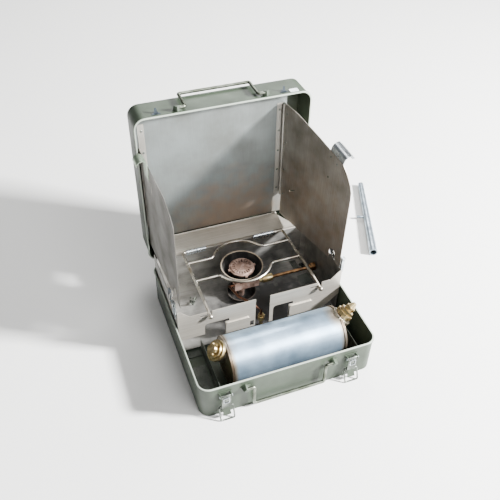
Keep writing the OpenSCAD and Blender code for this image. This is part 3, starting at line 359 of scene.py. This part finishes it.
# a fine rounding of turned and cut edges, which catches the light
edgeLook = {"joinMm": 0.002, "fromDegrees": 40, "segments": 2, "turnedMm": 0.35, "cutMm": 0.2,
            "turned": ("filler_cap", "valve_nut", "valve_tail", "valve_socket", "pipe_union",
                       "spindle_gland", "regulator_spindle", "burner_body"),
            "cut": ("lever_left", "lever_right", "latch_plates", "burner_cap", "tray_screws",
                    "tube_spanner", "spanner_peg")}
for kind in ("turned", "cut"):
    for name in edgeLook[kind]:
        weld = nodes[name].modifiers.new("joinCorners", "WELD")
        weld.merge_threshold = edgeLook["joinMm"] * mm
        rounding = nodes[name].modifiers.new("roundEdges", "BEVEL")
        rounding.width = edgeLook[kind + "Mm"] * mm
        rounding.segments = edgeLook["segments"]
        rounding.angle_limit = radians(edgeLook["fromDegrees"])
        rounding.use_clamp_overlap = True
print("edges rounded")


def startPiece(name):
    # the new primitive's place goes into its mesh, then it opens in edit mode
    piece = bpy.context.object
    piece.name = name
    bpy.ops.object.transform_apply(location=True, rotation=True, scale=True)
    bpy.ops.object.mode_set(mode="EDIT")
    return piece


def endPiece(piece, finish, body, smoothAngle=35):
    bpy.ops.mesh.select_all(action="SELECT")
    bpy.ops.mesh.normals_make_consistent(inside=False)
    bpy.ops.object.mode_set(mode="OBJECT")
    piece.data.materials.clear()
    piece.data.materials.append(finish)
    bpy.ops.object.select_all(action="DESELECT")
    piece.select_set(True)
    bpy.context.view_layer.objects.active = piece
    bpy.ops.object.shade_smooth_by_angle(angle=radians(smoothAngle))
    bpy.ops.object.select_all(action="DESELECT")
    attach(piece, body)
    return piece


def movePiece(piece, where):
    # moves the whole mesh, while the piece itself stays at the origin
    bpy.ops.object.mode_set(mode="OBJECT")
    piece.data.transform(where)
    bpy.ops.object.mode_set(mode="EDIT")


def addCopy(piece, where):
    # a copy with its own mesh, ready to be joined
    copied = piece.copy()
    copied.data = piece.data.copy()
    copied.data.transform(where)
    bpy.context.collection.objects.link(copied)
    copied.select_set(True)
    return copied


def turnAbout(point, turn, axis):
    return Matrix.Translation(point) @ Matrix.Rotation(radians(turn), 4, axis) @ Matrix.Translation(-point)


def pickFaces(piece, wanted):
    # selects the faces whose centre and normal satisfy the test
    mesh = bmesh.from_edit_mesh(piece.data)
    bpy.ops.mesh.select_all(action="DESELECT")
    for face in mesh.faces:
        face.select_set(wanted(face.calc_center_median(), face.normal))
    bmesh.update_edit_mesh(piece.data)


def pickEdges(piece, wanted):
    # selects the edges whose two ends satisfy the test
    bpy.ops.mesh.select_mode(type="EDGE")
    mesh = bmesh.from_edit_mesh(piece.data)
    bpy.ops.mesh.select_all(action="DESELECT")
    for edge in mesh.edges:
        edge.select_set(wanted(edge.verts[0].co, edge.verts[1].co))
    bmesh.update_edit_mesh(piece.data)


def pickPoints(piece, wanted):
    # selects the vertices that satisfy the test
    mesh = bmesh.from_edit_mesh(piece.data)
    bpy.ops.mesh.select_all(action="DESELECT")
    for vertex in mesh.verts:
        vertex.select_set(wanted(vertex.co))
    bmesh.update_edit_mesh(piece.data)


def roundEdges(piece, wanted, width, segments=2):
    pickEdges(piece, wanted)
    bpy.ops.mesh.bevel(offset=width * mm, segments=segments)
    bpy.ops.mesh.select_mode(type="FACE")


def drawOut(x, y, z):
    # extrudes the selected faces, in mm
    bpy.ops.mesh.extrude_region_move(TRANSFORM_OT_translate={"value": Vector((x, y, z)) * mm})


bendStep = 7  # degrees turned by each step of a bend


def bendWire(name, start, moves, radius, sides=16):
    # a straight run is (along,), a bend is (centre, axis, angle in degrees), all in mm
    first = Vector(moves[0][0]).normalized()
    bpy.ops.mesh.primitive_circle_add(vertices=sides, radius=radius * mm, fill_type="NGON",
        location=Vector(start) * mm, rotation=first.to_track_quat("Z", "Y").to_euler())
    wire = startPiece(name)
    bpy.ops.mesh.select_all(action="SELECT")
    for move in moves:
        if len(move) == 1:
            drawOut(*move[0])
        else:
            centre, axis, angle = move
            bpy.ops.mesh.spin(steps=max(2, round(abs(angle) / bendStep)), angle=-radians(angle),
                center=Vector(centre) * mm, axis=axis)
    return wire


def cornerMoves(points, bendRadius):
    # runs and bends through a list of corners
    points = [Vector(p) for p in points]
    moves = []
    at = points[0]
    for before, corner, after in zip(points, points[1:], points[2:]):
        a = (corner - before).normalized()
        b = (after - corner).normalized()
        turn = a.angle(b)
        if turn < radians(0.5):
            moves.append((corner - at,))
            at = corner
            continue
        cut = bendRadius * tan(turn / 2)
        bendStart = corner - a * cut
        axis = a.cross(b).normalized()
        moves.append((bendStart - at,))
        moves.append((bendStart + axis.cross(a) * bendRadius, axis, degrees(turn)))
        at = corner + b * cut
    moves.append((points[-1] - at,))
    return moves


# pot support: two bent side rods with ball feet, and two cross wires that form the ring
support = {"rod": 2.7, "cross": 2.5, "height": 105, "bend": 7, "ball": 4.6, "ballFlat": 0.5,
           "right": ((46, 148, 105), (108, 148, 105), (113, 4, 105), (119.5, -20.5, 90)),
           "left": ((-62, 148, 105), (-108, 148, 105), (-106, 9, 105), (-103.6, -20.5, 93)),
           "ring": 58, "centre": (-3, 89), "fillet": 14, "crossAt": (64.5, 115)}
sideRods = []
for side in ("right", "left"):
    corners = support[side]
    rod = bendWire("supportRod" + side.title(), corners[0], cornerMoves(corners, support["bend"]),
        support["rod"])
    endPiece(rod, drawnWire, "pot_support")
    bpy.ops.mesh.primitive_uv_sphere_add(segments=32, ring_count=20, radius=support["ball"] * mm,
        location=Vector(corners[-1]) * mm)
    ball = startPiece("supportBall" + side.title())
    bpy.ops.mesh.select_all(action="SELECT")
    low = Vector(corners[-1]) - Vector((0, 0, support["ball"] - support["ballFlat"]))
    bpy.ops.mesh.bisect(plane_co=low * mm, plane_no=(0, 0, -1), use_fill=True, clear_outer=True)
    endPiece(ball, drawnWire, "pot_support")
    sideRods += [rod, ball]


def rodX(side, y):
    # where a side rod's long run lies across the stove, at a given depth
    (startX, startY, _), (endX, endY, _) = support[side][1:3]
    return startX + (endX - startX) * (startY - y) / (startY - endY)


for at, out in zip(support["crossAt"], (-1, 1)):
    centreX, centreY = support["centre"]
    fillet = support["fillet"]
    filletY = at + out * fillet
    reach = sqrt((support["ring"] + fillet) ** 2 - (filletY - centreY) ** 2)
    slope = degrees(atan2(abs(filletY - centreY), reach))
    height = support["height"]
    leftEnd = rodX("left", at)
    up = (0, 0, 1)
    moves = [((centreX - reach - leftEnd, 0, 0),),
             ((centreX - reach, filletY, height), up, out * (90 - slope)),
             ((centreX, centreY, height), up, -out * (180 - 2 * slope)),
             ((centreX + reach, filletY, height), up, out * (90 - slope)),
             ((rodX("right", at) - centreX - reach, 0, 0),)]
    wire = bendWire("crossWire" + ("Front" if out < 0 else "Rear"), (leftEnd, at, height), moves,
        support["cross"])
    endPiece(wire, drawnWire, "pot_support")
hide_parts("pot_frame")
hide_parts("pot_crossbars")
print("pot support bent")

# pieces on the lid are drawn as it lies closed and then opened with it
openLid = turnAbout(lidHinge, -90 - leanDegrees, "X")
openLean = turnAbout(lidHinge, -leanDegrees, "X")
wallY = -162.25

# carrying handles: one wire bail each, its ends turned out into the eyes
bail = {"half": 68.5, "end": 17, "drop": 48, "wire": 3.0, "bend": 3.8, "x": -4,
        "base": (-169.25, 59), "lid": (-169.25, 86.3)}
for side, hang in (("base", -1), ("lid", 1)):
    y, z = bail[side]
    outline = [(-1, bail["end"], 0), (-1, 0, 0), (-1, 0, 1), (1, 0, 1), (1, 0, 0), (1, bail["end"], 0)]
    corners = [(bail["x"] + hand * (bail["half"] + more), y, z + hang * down * bail["drop"])
               for hand, more, down in outline]
    wire = bendWire(side + "Bail", corners[0], cornerMoves(corners, bail["bend"]), bail["wire"])
    if side == "lid":
        movePiece(wire, openLid)
    endPiece(wire, shadedHandleWire, side + "_handle_body")
    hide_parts(side + "_handle")
print("handles bent")

# handle eyes: a diamond plate on the wall, with a hollow boss drawn out of it over the wire's end
handleEye = {"wide": 10, "tall": 7.5, "thick": 1.2, "inset": 1.2, "out": 3.9, "taper": 0.72, "short": 1.5,
             "edge": 0.5, "cap": 2}
for side, finish in (("base", paintBase), ("lid", paintLid)):
    wireY, z = bail[side]
    for hand, sign in (("Left", -1), ("Right", 1)):
        x = bail["x"] + sign * (bail["half"] + bail["end"] - handleEye["short"])
        centre = Vector((x, wallY, z)) * mm
        bpy.ops.mesh.primitive_circle_add(vertices=4, radius=handleEye["wide"] * mm, fill_type="NGON",
            location=centre, rotation=(pi / 2, 0, 0))
        plate = startPiece(side + "HandleEye" + hand)
        bpy.ops.mesh.select_all(action="SELECT")
        bpy.ops.transform.resize(value=(1, 1, handleEye["tall"] / handleEye["wide"]), center_override=centre)
        drawOut(0, -handleEye["thick"], 0)
        bpy.ops.mesh.inset(thickness=handleEye["inset"] * mm)
        drawOut(0, wireY - handleEye["out"] - wallY + handleEye["thick"], 0)
        bpy.ops.transform.resize(value=(handleEye["taper"], 1, handleEye["taper"]))
        roundEdges(plate, lambda a, b: abs(a.y - b.y) > 0.8 * handleEye["thick"] * mm or
            max(a.y, b.y) < (wireY - handleEye["cap"]) * mm, handleEye["edge"])
        if side == "lid":
            movePiece(plate, openLid)
        endPiece(plate, finish, side, 30)
        if hand == "Left":
            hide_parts(side + "_handle_brackets")
print("handle eyes pressed")

# latch loops: a wire frame through the lever's rolled foot, its butt joint hidden inside the roll
latch = {"x": (-125, 117), "pivot": (-168.75, 27), "half": 12.9, "length": 27.3, "wire": 1.4, "bend": 3.2,
         "tilt": 22, "joint": 0.1}
for side, x in zip(("left", "right"), latch["x"]):
    tilt = radians(latch["tilt"])
    foot = Vector((0, -sin(tilt), -cos(tilt))) * latch["length"]
    pivot = Vector((x, *latch["pivot"]))
    across = Vector((latch["half"], 0, 0))
    joint = Vector((latch["joint"], 0, 0))
    corners = [pivot + joint, pivot + across, pivot + across + foot, pivot - across + foot, pivot - across,
               pivot - joint]
    wire = bendWire("latchWire" + side.title(), corners[0], cornerMoves(corners, latch["bend"]),
        latch["wire"])
    endPiece(wire, plated, "loop_" + side + "_body")
    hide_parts("loop_" + side)
print("latch loops bent")

# latch tongues: a short pressed strip hangs in each wire loop, wider at its foot
tongue = {"wide": 13, "top": 1.5, "root": 2, "long": 17, "waist": 0.3, "thick": 1.1, "foot": 1.18,
          "panel": 2.4, "sink": 0.4, "round": 1.6}
for side, x in zip(("left", "right"), latch["x"]):
    pivot = Vector((x, *latch["pivot"])) * mm
    bpy.ops.mesh.primitive_cube_add(size=1,
        location=pivot - Vector((0, 0, tongue["top"] + tongue["root"] / 2)) * mm,
        scale=Vector((tongue["wide"], tongue["thick"], tongue["root"])) * mm)
    strip = startPiece("latchTongue" + side.title())
    pickFaces(strip, lambda centre, normal: normal.z < -0.9)
    for part in (tongue["waist"], 1 - tongue["waist"]):
        drawOut(0, 0, -(tongue["long"] - tongue["root"]) * part)
    bpy.ops.transform.resize(value=(tongue["foot"], 1, 1))
    roundEdges(strip, lambda a, b: abs(a.y - b.y) > 0.5 * tongue["thick"] * mm and
        a.z < pivot.z - tongue["long"] * mm, tongue["round"], 4)
    pickFaces(strip, lambda centre, normal: normal.y < -0.9 and centre.z < pivot.z - tongue["long"] / 2 * mm)
    bpy.ops.mesh.inset(thickness=tongue["panel"] * mm, depth=-tongue["sink"] * mm)
    movePiece(strip, turnAbout(pivot, -latch["tilt"], "X"))
    endPiece(strip, paintBase, "loop_" + side + "_body", 30)
print("latch tongues pressed")


def wingPlace(hinge, turn):
    # a wing stands turned about its upright hinge line, by some degrees from straight ahead
    return openLean @ Matrix.Translation(Vector(hinge) * mm) @ Matrix.Rotation(radians(turn), 4, "Z")


rightWingPlace = wingPlace((118, 191.6, 0), 12.8)
leftWingPlace = wingPlace((-163.35, 195.1, 0), 2.2)

# rivets: one head, domed by rings that are each drawn in and raised, copied to every place and joined
# row by row
rivet = {"radius": 2.1, "rim": 0.4, "sides": 20, "rings": ((0.4, 0.3), (0.8, 0.2))}
bpy.ops.mesh.primitive_cylinder_add(vertices=rivet["sides"], radius=rivet["radius"] * mm,
    depth=rivet["rim"] * mm, location=(0, 0, rivet["rim"] / 2 * mm))
rivetHead = startPiece("rivetHead")
pickFaces(rivetHead, lambda centre, normal: normal.z > 0.9)
for drawnIn, raised in rivet["rings"]:
    bpy.ops.mesh.inset(thickness=drawnIn * mm, depth=raised * mm)
bpy.ops.object.mode_set(mode="OBJECT")


def rivetRow(name, finish, body, frameOf, facing, places):
    # heads stand on the given side of a sheet; facing and places are in that sheet's own frame
    turn = Vector(facing).to_track_quat("Z", "Y").to_matrix().to_4x4()
    bpy.ops.object.select_all(action="DESELECT")
    for place in places:
        head = addCopy(rivetHead, frameOf @ Matrix.Translation(Vector(place) * mm) @ turn)
        bpy.context.view_layer.objects.active = head
    bpy.ops.object.join()
    row = bpy.context.object
    row.name = name
    bpy.ops.object.mode_set(mode="EDIT")
    return endPiece(row, finish, body, 60)


# the leaf rows stand on the back panel, the wing rows on the wing's inner side, two or three of them
# for its clip; the left wing's rows are staggered, because the right wing folds over them
rivetRow("rivetsRightLeaf", plated, "lid", openLean, (0, -1, 0),
         [(111.5, 196.65, z) for z in (179, 224, 269, 314, 359)])
rivetRow("rivetsLeftLeaf", plated, "lid", openLean, (0, -1, 0),
         [(-153.65, 196.65, z) for z in (185, 230, 275, 320, 365)])
rivetRow("rivetsRightWing", plated, "right_wing_body", rightWingPlace, (-1, 0, 0),
         [(-0.35, -11, z) for z in (172, 232, 294, 356)] +
         [(-0.35, -145, 336), (-0.35, -163, 330), (-0.35, -143, 292)])
rivetRow("rivetsLeftWing", plated, "left_wing_body", leftWingPlace, (1, 0, 0),
         [(0.35, -11, z) for z in (165, 207, 252, 297)] + [(0.35, -46, 310), (0.35, -60, 310)])
rivetRow("rivetsBaseLeaves", paintBase, "base", Matrix.Identity(4), (0, 1, 0),
         [(hand * 100 + along, 163.7, 50) for hand in (-1, 1) for along in (-18, -6, 6, 18)])
bpy.data.objects.remove(rivetHead)
print("rivets set")

# weld beads round both ends of the tank: a torus with every second ring swollen
bead = {"at": (-96.4, -100.2, 119.4, 123.2), "radius": 45.6, "step": 0.5, "bead": 0.75, "ripples": 90,
        "swell": 0.22, "axis": (-91, 48.5)}
axisY, axisZ = bead["axis"]
for index, x in enumerate(bead["at"]):
    bpy.ops.mesh.primitive_torus_add(major_radius=(bead["radius"] - bead["step"] * (index % 2)) * mm,
        minor_radius=bead["bead"] * mm, major_segments=bead["ripples"] * 2, minor_segments=10,
        location=Vector((x, axisY, axisZ)) * mm, rotation=(0, pi / 2, 0))
    ring = startPiece("tankWeld" + str(index + 1))
    pickPoints(ring, lambda co: round(atan2(co.z - axisZ * mm, co.y - axisY * mm) /
        (pi / bead["ripples"])) % 2 == 0)
    bpy.ops.transform.shrink_fatten(value=bead["swell"] * mm)
    endPiece(ring, weldMetal, "tank", 60)
print("tank welds laid")

# turned ribs round the valve's flange: one grooved ring, copied along the valve's axis
valve = {"at": (121.4, -91, 74.2), "tilt": 45, "ribs": (6.9, 9.75, 12.6), "major": 19.0, "minor": 1.15,
         "teeth": 48, "groove": 0.35}
valveTurn = Matrix.Rotation(radians(90 - valve["tilt"]), 4, "Y")
valvePlace = Matrix.Translation(Vector(valve["at"]) * mm) @ valveTurn
bpy.ops.mesh.primitive_torus_add(major_radius=valve["major"] * mm, minor_radius=valve["minor"] * mm,
    major_segments=valve["teeth"] * 2, minor_segments=10, location=(0, 0, 0))
rib = startPiece("valveRibs")
pickPoints(rib, lambda co: round(atan2(co.y, co.x) / (pi / valve["teeth"])) % 4 == 0 and
    Vector((co.x, co.y)).length > valve["major"] * mm)
bpy.ops.transform.shrink_fatten(value=-valve["groove"] * mm)
bpy.ops.object.mode_set(mode="OBJECT")
for height in valve["ribs"][1:]:
    addCopy(rib, valvePlace @ Matrix.Translation((0, 0, height * mm)))
rib.data.transform(valvePlace @ Matrix.Translation((0, 0, valve["ribs"][0] * mm)))
bpy.context.view_layer.objects.active = rib
bpy.ops.object.join()
bpy.ops.object.mode_set(mode="EDIT")
endPiece(rib, nickelled, "tank", 60)
print("valve ribs turned")

# a wing nut stands on the tray's floor: a turned boss with two ears drawn out of it
wingNut = {"at": (-106, 97, 8), "radius": 4.4, "height": 5, "ear": 7.5, "lift": 7.0, "steps": 3,
           "taper": 0.7, "bore": 1.6, "depth": 0.8, "turn": 35}
nutAt = Vector(wingNut["at"]) * mm
bpy.ops.mesh.primitive_cylinder_add(vertices=16, radius=wingNut["radius"] * mm,
    depth=wingNut["height"] * mm, location=nutAt + Vector((0, 0, wingNut["height"] / 2)) * mm)
nut = startPiece("trayWingNut")
for hand in (-1, 1):
    pickFaces(nut, lambda centre, normal: abs(normal.z) < 0.1 and normal.x * hand > 0.9)
    for step in range(wingNut["steps"]):
        drawOut(hand * wingNut["ear"] / wingNut["steps"], 0, wingNut["lift"] / wingNut["steps"])
    bpy.ops.transform.resize(value=(1, wingNut["taper"], wingNut["taper"]))
pickFaces(nut, lambda centre, normal: normal.z > 0.99 and abs(centre.x - nutAt.x) < 1.5 * mm)
bpy.ops.mesh.inset(thickness=(wingNut["radius"] - wingNut["bore"]) * mm)
drawOut(0, 0, -wingNut["height"] * wingNut["depth"])
movePiece(nut, turnAbout(nutAt, wingNut["turn"], "Z"))
endPiece(nut, plated, "base", 40)
print("wing nut made")

# thumb pads: a dished dark disc on each sprung wire, which seats behind the hole in the wing and stands for
# the shade seen through it: painted shade
shadePad = {"at": (165, 31, 125), "radius": 12, "thick": 0.9, "rim": 1.6, "dish": 0.15, "edge": 0.25, "tilt": 8}
for side, sign in (("Right", 1), ("Left", -1)):
    padAt = Vector((sign * shadePad["at"][0], *shadePad["at"][1:])) * mm
    bpy.ops.mesh.primitive_cylinder_add(vertices=40, radius=shadePad["radius"] * mm, depth=shadePad["thick"] * mm,
        location=padAt, rotation=(0, pi / 2, 0))
    disc = startPiece("catchPadPaintedShade" + side)
    for way in (-1, 1):
        pickFaces(disc, lambda centre, normal: normal.x * way > 0.9)
        bpy.ops.mesh.inset(thickness=shadePad["rim"] * mm)
        bpy.ops.transform.translate(value=(-way * shadePad["dish"] * mm, 0, 0))
    roundEdges(disc, lambda a, b: abs(a.x - b.x) < 0.01 * mm and
        min((v - padAt).length for v in (a, b)) > 0.98 * shadePad["radius"] * mm, shadePad["edge"])
    movePiece(disc, turnAbout(padAt, -sign * shadePad["tilt"], "Y"))
    endPiece(disc, blued, "base", 30)
print("catch pads pressed")

# clasps: a folded box of bright strip stands on each front corner of the tray, outside the wing's foot
clasp = {"at": (167.4, -5.5, 126), "size": (5, 9, 30), "lip": 1.8, "curl": 1.6, "rise": 0.4, "groove": 1.4,
         "sink": 0.6, "footShift": 1.2, "footDrop": 2.5, "footThin": 0.4, "footLength": 9, "edge": 0.3}
for side, sign in (("Right", 1), ("Left", -1)):
    x, y, z = clasp["at"]
    deep, tall = clasp["size"][1:]
    bpy.ops.mesh.primitive_cube_add(size=1, location=Vector((sign * x, y, z)) * mm,
        scale=Vector(clasp["size"]) * mm)
    strip = startPiece("wingClasp" + side)
    pickFaces(strip, lambda centre, normal: normal.z > 0.9)
    for out, up in ((0.4, clasp["curl"]), (1, clasp["rise"])):
        drawOut(sign * clasp["lip"] * out, 0, up)
    pickFaces(strip, lambda centre, normal: normal.z < -0.9 and centre.z < z * mm)
    drawOut(-sign * clasp["footShift"], 0, -clasp["footDrop"])
    bpy.ops.transform.resize(value=(clasp["footThin"], 1, 1))
    drawOut(0, 0, -clasp["footLength"])
    for way in (-1, 1):
        pickFaces(strip, lambda centre, normal: normal.y * way > 0.9 and abs(centre.z - z * mm) < 2 * mm)
        bpy.ops.mesh.inset(thickness=clasp["groove"] * mm, depth=-clasp["sink"] * mm)
    roundEdges(strip, lambda a, b: abs(a.y - b.y) > (deep - 1) * mm or abs(a.z - b.z) > (tall - 1) * mm,
        clasp["edge"])
    endPiece(strip, brightPlated, "base", 40)
print("wing clasps folded")

# lid strikers: a pointed plate with an upright hook drawn out of it
striker = {"half": 9, "z": 90.5, "stretch": (1.15, 1, 0.95), "sunk": 0.05, "thick": 1.1, "border": 2.3,
           "raised": 0.4, "neck": 0.5, "hook": 8.5, "lean": 1.4, "steps": 3, "taper": 0.78, "round": 1.6}
for side, x in zip(("Left", "Right"), latch["x"]):
    plateAt = Vector((x, wallY + striker["sunk"], striker["z"])) * mm
    bpy.ops.mesh.primitive_circle_add(vertices=3, radius=striker["half"] * mm, fill_type="NGON",
        location=plateAt, rotation=(pi / 2, 0, 0))
    plate = startPiece("lidStriker" + side)
    bpy.ops.mesh.select_all(action="SELECT")
    bpy.ops.transform.resize(value=striker["stretch"], center_override=plateAt)
    drawOut(0, -striker["thick"], 0)
    bpy.ops.mesh.inset(thickness=striker["border"] * mm)
    drawOut(0, -striker["raised"], 0)
    bpy.ops.mesh.inset(thickness=striker["neck"] * mm)
    for step in range(striker["steps"]):
        drawOut(0, -striker["hook"] / striker["steps"], striker["lean"] / striker["steps"])
        bpy.ops.transform.resize(value=(striker["taper"], 1, striker["taper"]))
    roundEdges(plate, lambda a, b: abs(a.y - b.y) > 0.8 * striker["thick"] * mm and
        min(a.y, b.y) > plateAt.y - 1.1 * striker["thick"] * mm, striker["round"], 4)
    movePiece(plate, openLid)
    endPiece(plate, blued, "lid", 30)
    if side == "Left":
        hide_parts("lid_strikers")
print("strikers pressed")

# latch levers: a sprung wire eye is riveted on each lever's face
eye = {"half": 5.2, "low": 41, "high": 54, "y": -172.4, "wire": 0.75, "sides": 10, "bend": 2.2,
       "joint": 0.05}
eyeOutline = ((eye["joint"], "low"), (eye["half"], "low"), (eye["half"], "high"), (-eye["half"], "high"),
              (-eye["half"], "low"), (-eye["joint"], "low"))
for side, x in zip(("left", "right"), latch["x"]):
    corners = [(x + along, eye["y"], eye[level]) for along, level in eyeOutline]
    wire = bendWire("latchEye" + side.title(), corners[0], cornerMoves(corners, eye["bend"]), eye["wire"],
        eye["sides"])
    endPiece(wire, brightPlated, "lever_" + side + "_body")
print("latch eyes bent")

# the apron's rear edge is folded over into a round hem, turned down at its ends
hem = {"left": -156, "right": 112.2, "y": 195.9, "z": 113.6, "radius": 1.6, "down": 3.5, "bend": 2}
corners = [(hem[end], hem["y"], hem["z"] - drop) for end, drop in
           (("left", hem["down"]), ("left", 0), ("right", 0), ("right", hem["down"]))]
roll = bendWire("apronHem", corners[0], cornerMoves(corners, hem["bend"]), hem["radius"])
endPiece(roll, skyLitSheet, "base")
print("apron hem rolled")

# the blank label has round corners and a thin raised edge
label = {"centre": (136.5, 88.8), "size": (17, 11), "thick": 0.8, "corner": 2.0, "edge": 0.9, "sink": 0.2}
bpy.ops.mesh.primitive_cube_add(size=1,
    location=Vector((label["centre"][0], wallY - label["thick"] / 2, label["centre"][1])) * mm,
    scale=Vector((label["size"][0], label["thick"], label["size"][1])) * mm)
tag = startPiece("labelTag")
roundEdges(tag, lambda a, b: abs(a.y - b.y) > 0.5 * label["thick"] * mm, label["corner"], 5)
pickFaces(tag, lambda centre, normal: normal.y < -0.9)
bpy.ops.mesh.inset(thickness=label["edge"] * mm, depth=-label["sink"] * mm)
movePiece(tag, openLid)
endPiece(tag, varnishedPaper, "lid")
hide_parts("label_plate")
print("label made")

# pale floor and soft lights: the key from the right throws the wing's shadow on the back panel
studio = {"floorMm": 30000, "floorColour": "#dcdcda", "floorGrain": 3, "floorRough": 0.9,
          "floorBumpMm": 0.1, "sky": 0.2, "aim": (0, 0.05, 0.15),
          "keyAt": (2.36, -1.18, 1.68), "keySize": 0.35, "keyPower": 920,
          "overheadAt": (-0.3, 0.2, 3.0), "overheadSize": 1.2, "overheadPower": 20,
          "frontAt": (0.7, -1.7, 2.3), "frontSize": 1.3, "frontPower": 60,
          "backAt": (0.9, 2.2, 2.3), "backSize": 1.4, "backPower": 90}
bpy.ops.mesh.primitive_plane_add(size=studio["floorMm"] * mm, location=(0, 0, 0))
floor = bpy.context.object
floor.name = "floor"
floorFinish, floorPlace = newFinish("paleFloor")
floorNoise = addNode(floorFinish, "TexNoise", {"Vector": floorPlace, "Scale": studio["floorGrain"]})
closeFinish(floorFinish, toLinear(studio["floorColour"]), studio["floorRough"], floorNoise.outputs[0],
    0.0, studio["floorBumpMm"])
floor.data.materials.append(floorFinish)


def softLight(name, at, size, power):
    bpy.ops.object.light_add(type="AREA", location=at)
    lamp = bpy.context.object
    lamp.name = name
    lamp.data.size = size
    lamp.data.energy = power
    lamp.rotation_euler = (Vector(studio["aim"]) - Vector(at)).to_track_quat("-Z", "Y").to_euler()


for light in ("key", "overhead", "front", "back"):
    softLight(light + "Light", studio[light + "At"], studio[light + "Size"], studio[light + "Power"])
world = bpy.data.worlds.new("studioSky")
world.use_nodes = True
world.node_tree.nodes["Background"].inputs[0].default_value = (1.0, 1.0, 1.0, 1.0)
world.node_tree.nodes["Background"].inputs[1].default_value = studio["sky"]
bpy.context.scene.world = world

cameraLook = {"at": (-0.32675, -0.77019, 0.99315), "yaw": 21.61, "pitch": 43.096, "roll": 1.625,
              "lens": 46.4, "sensor": 36}
yaw, pitch, roll = (radians(cameraLook[k]) for k in ("yaw", "pitch", "roll"))
ahead = Vector((sin(yaw) * cos(pitch), cos(yaw) * cos(pitch), -sin(pitch)))
level = Vector((cos(yaw), -sin(yaw), 0))
above = level.cross(ahead)
sideways = cos(roll) * level + sin(roll) * above
upward = -sin(roll) * level + cos(roll) * above
bpy.ops.object.camera_add(location=cameraLook["at"])
camera = bpy.context.object
camera.name = "camera"
camera.data.lens = cameraLook["lens"]
camera.data.sensor_width = cameraLook["sensor"]
camera.rotation_euler = Matrix((sideways, upward, -ahead)).transposed().to_euler()
bpy.context.scene.camera = camera
print("stage set")
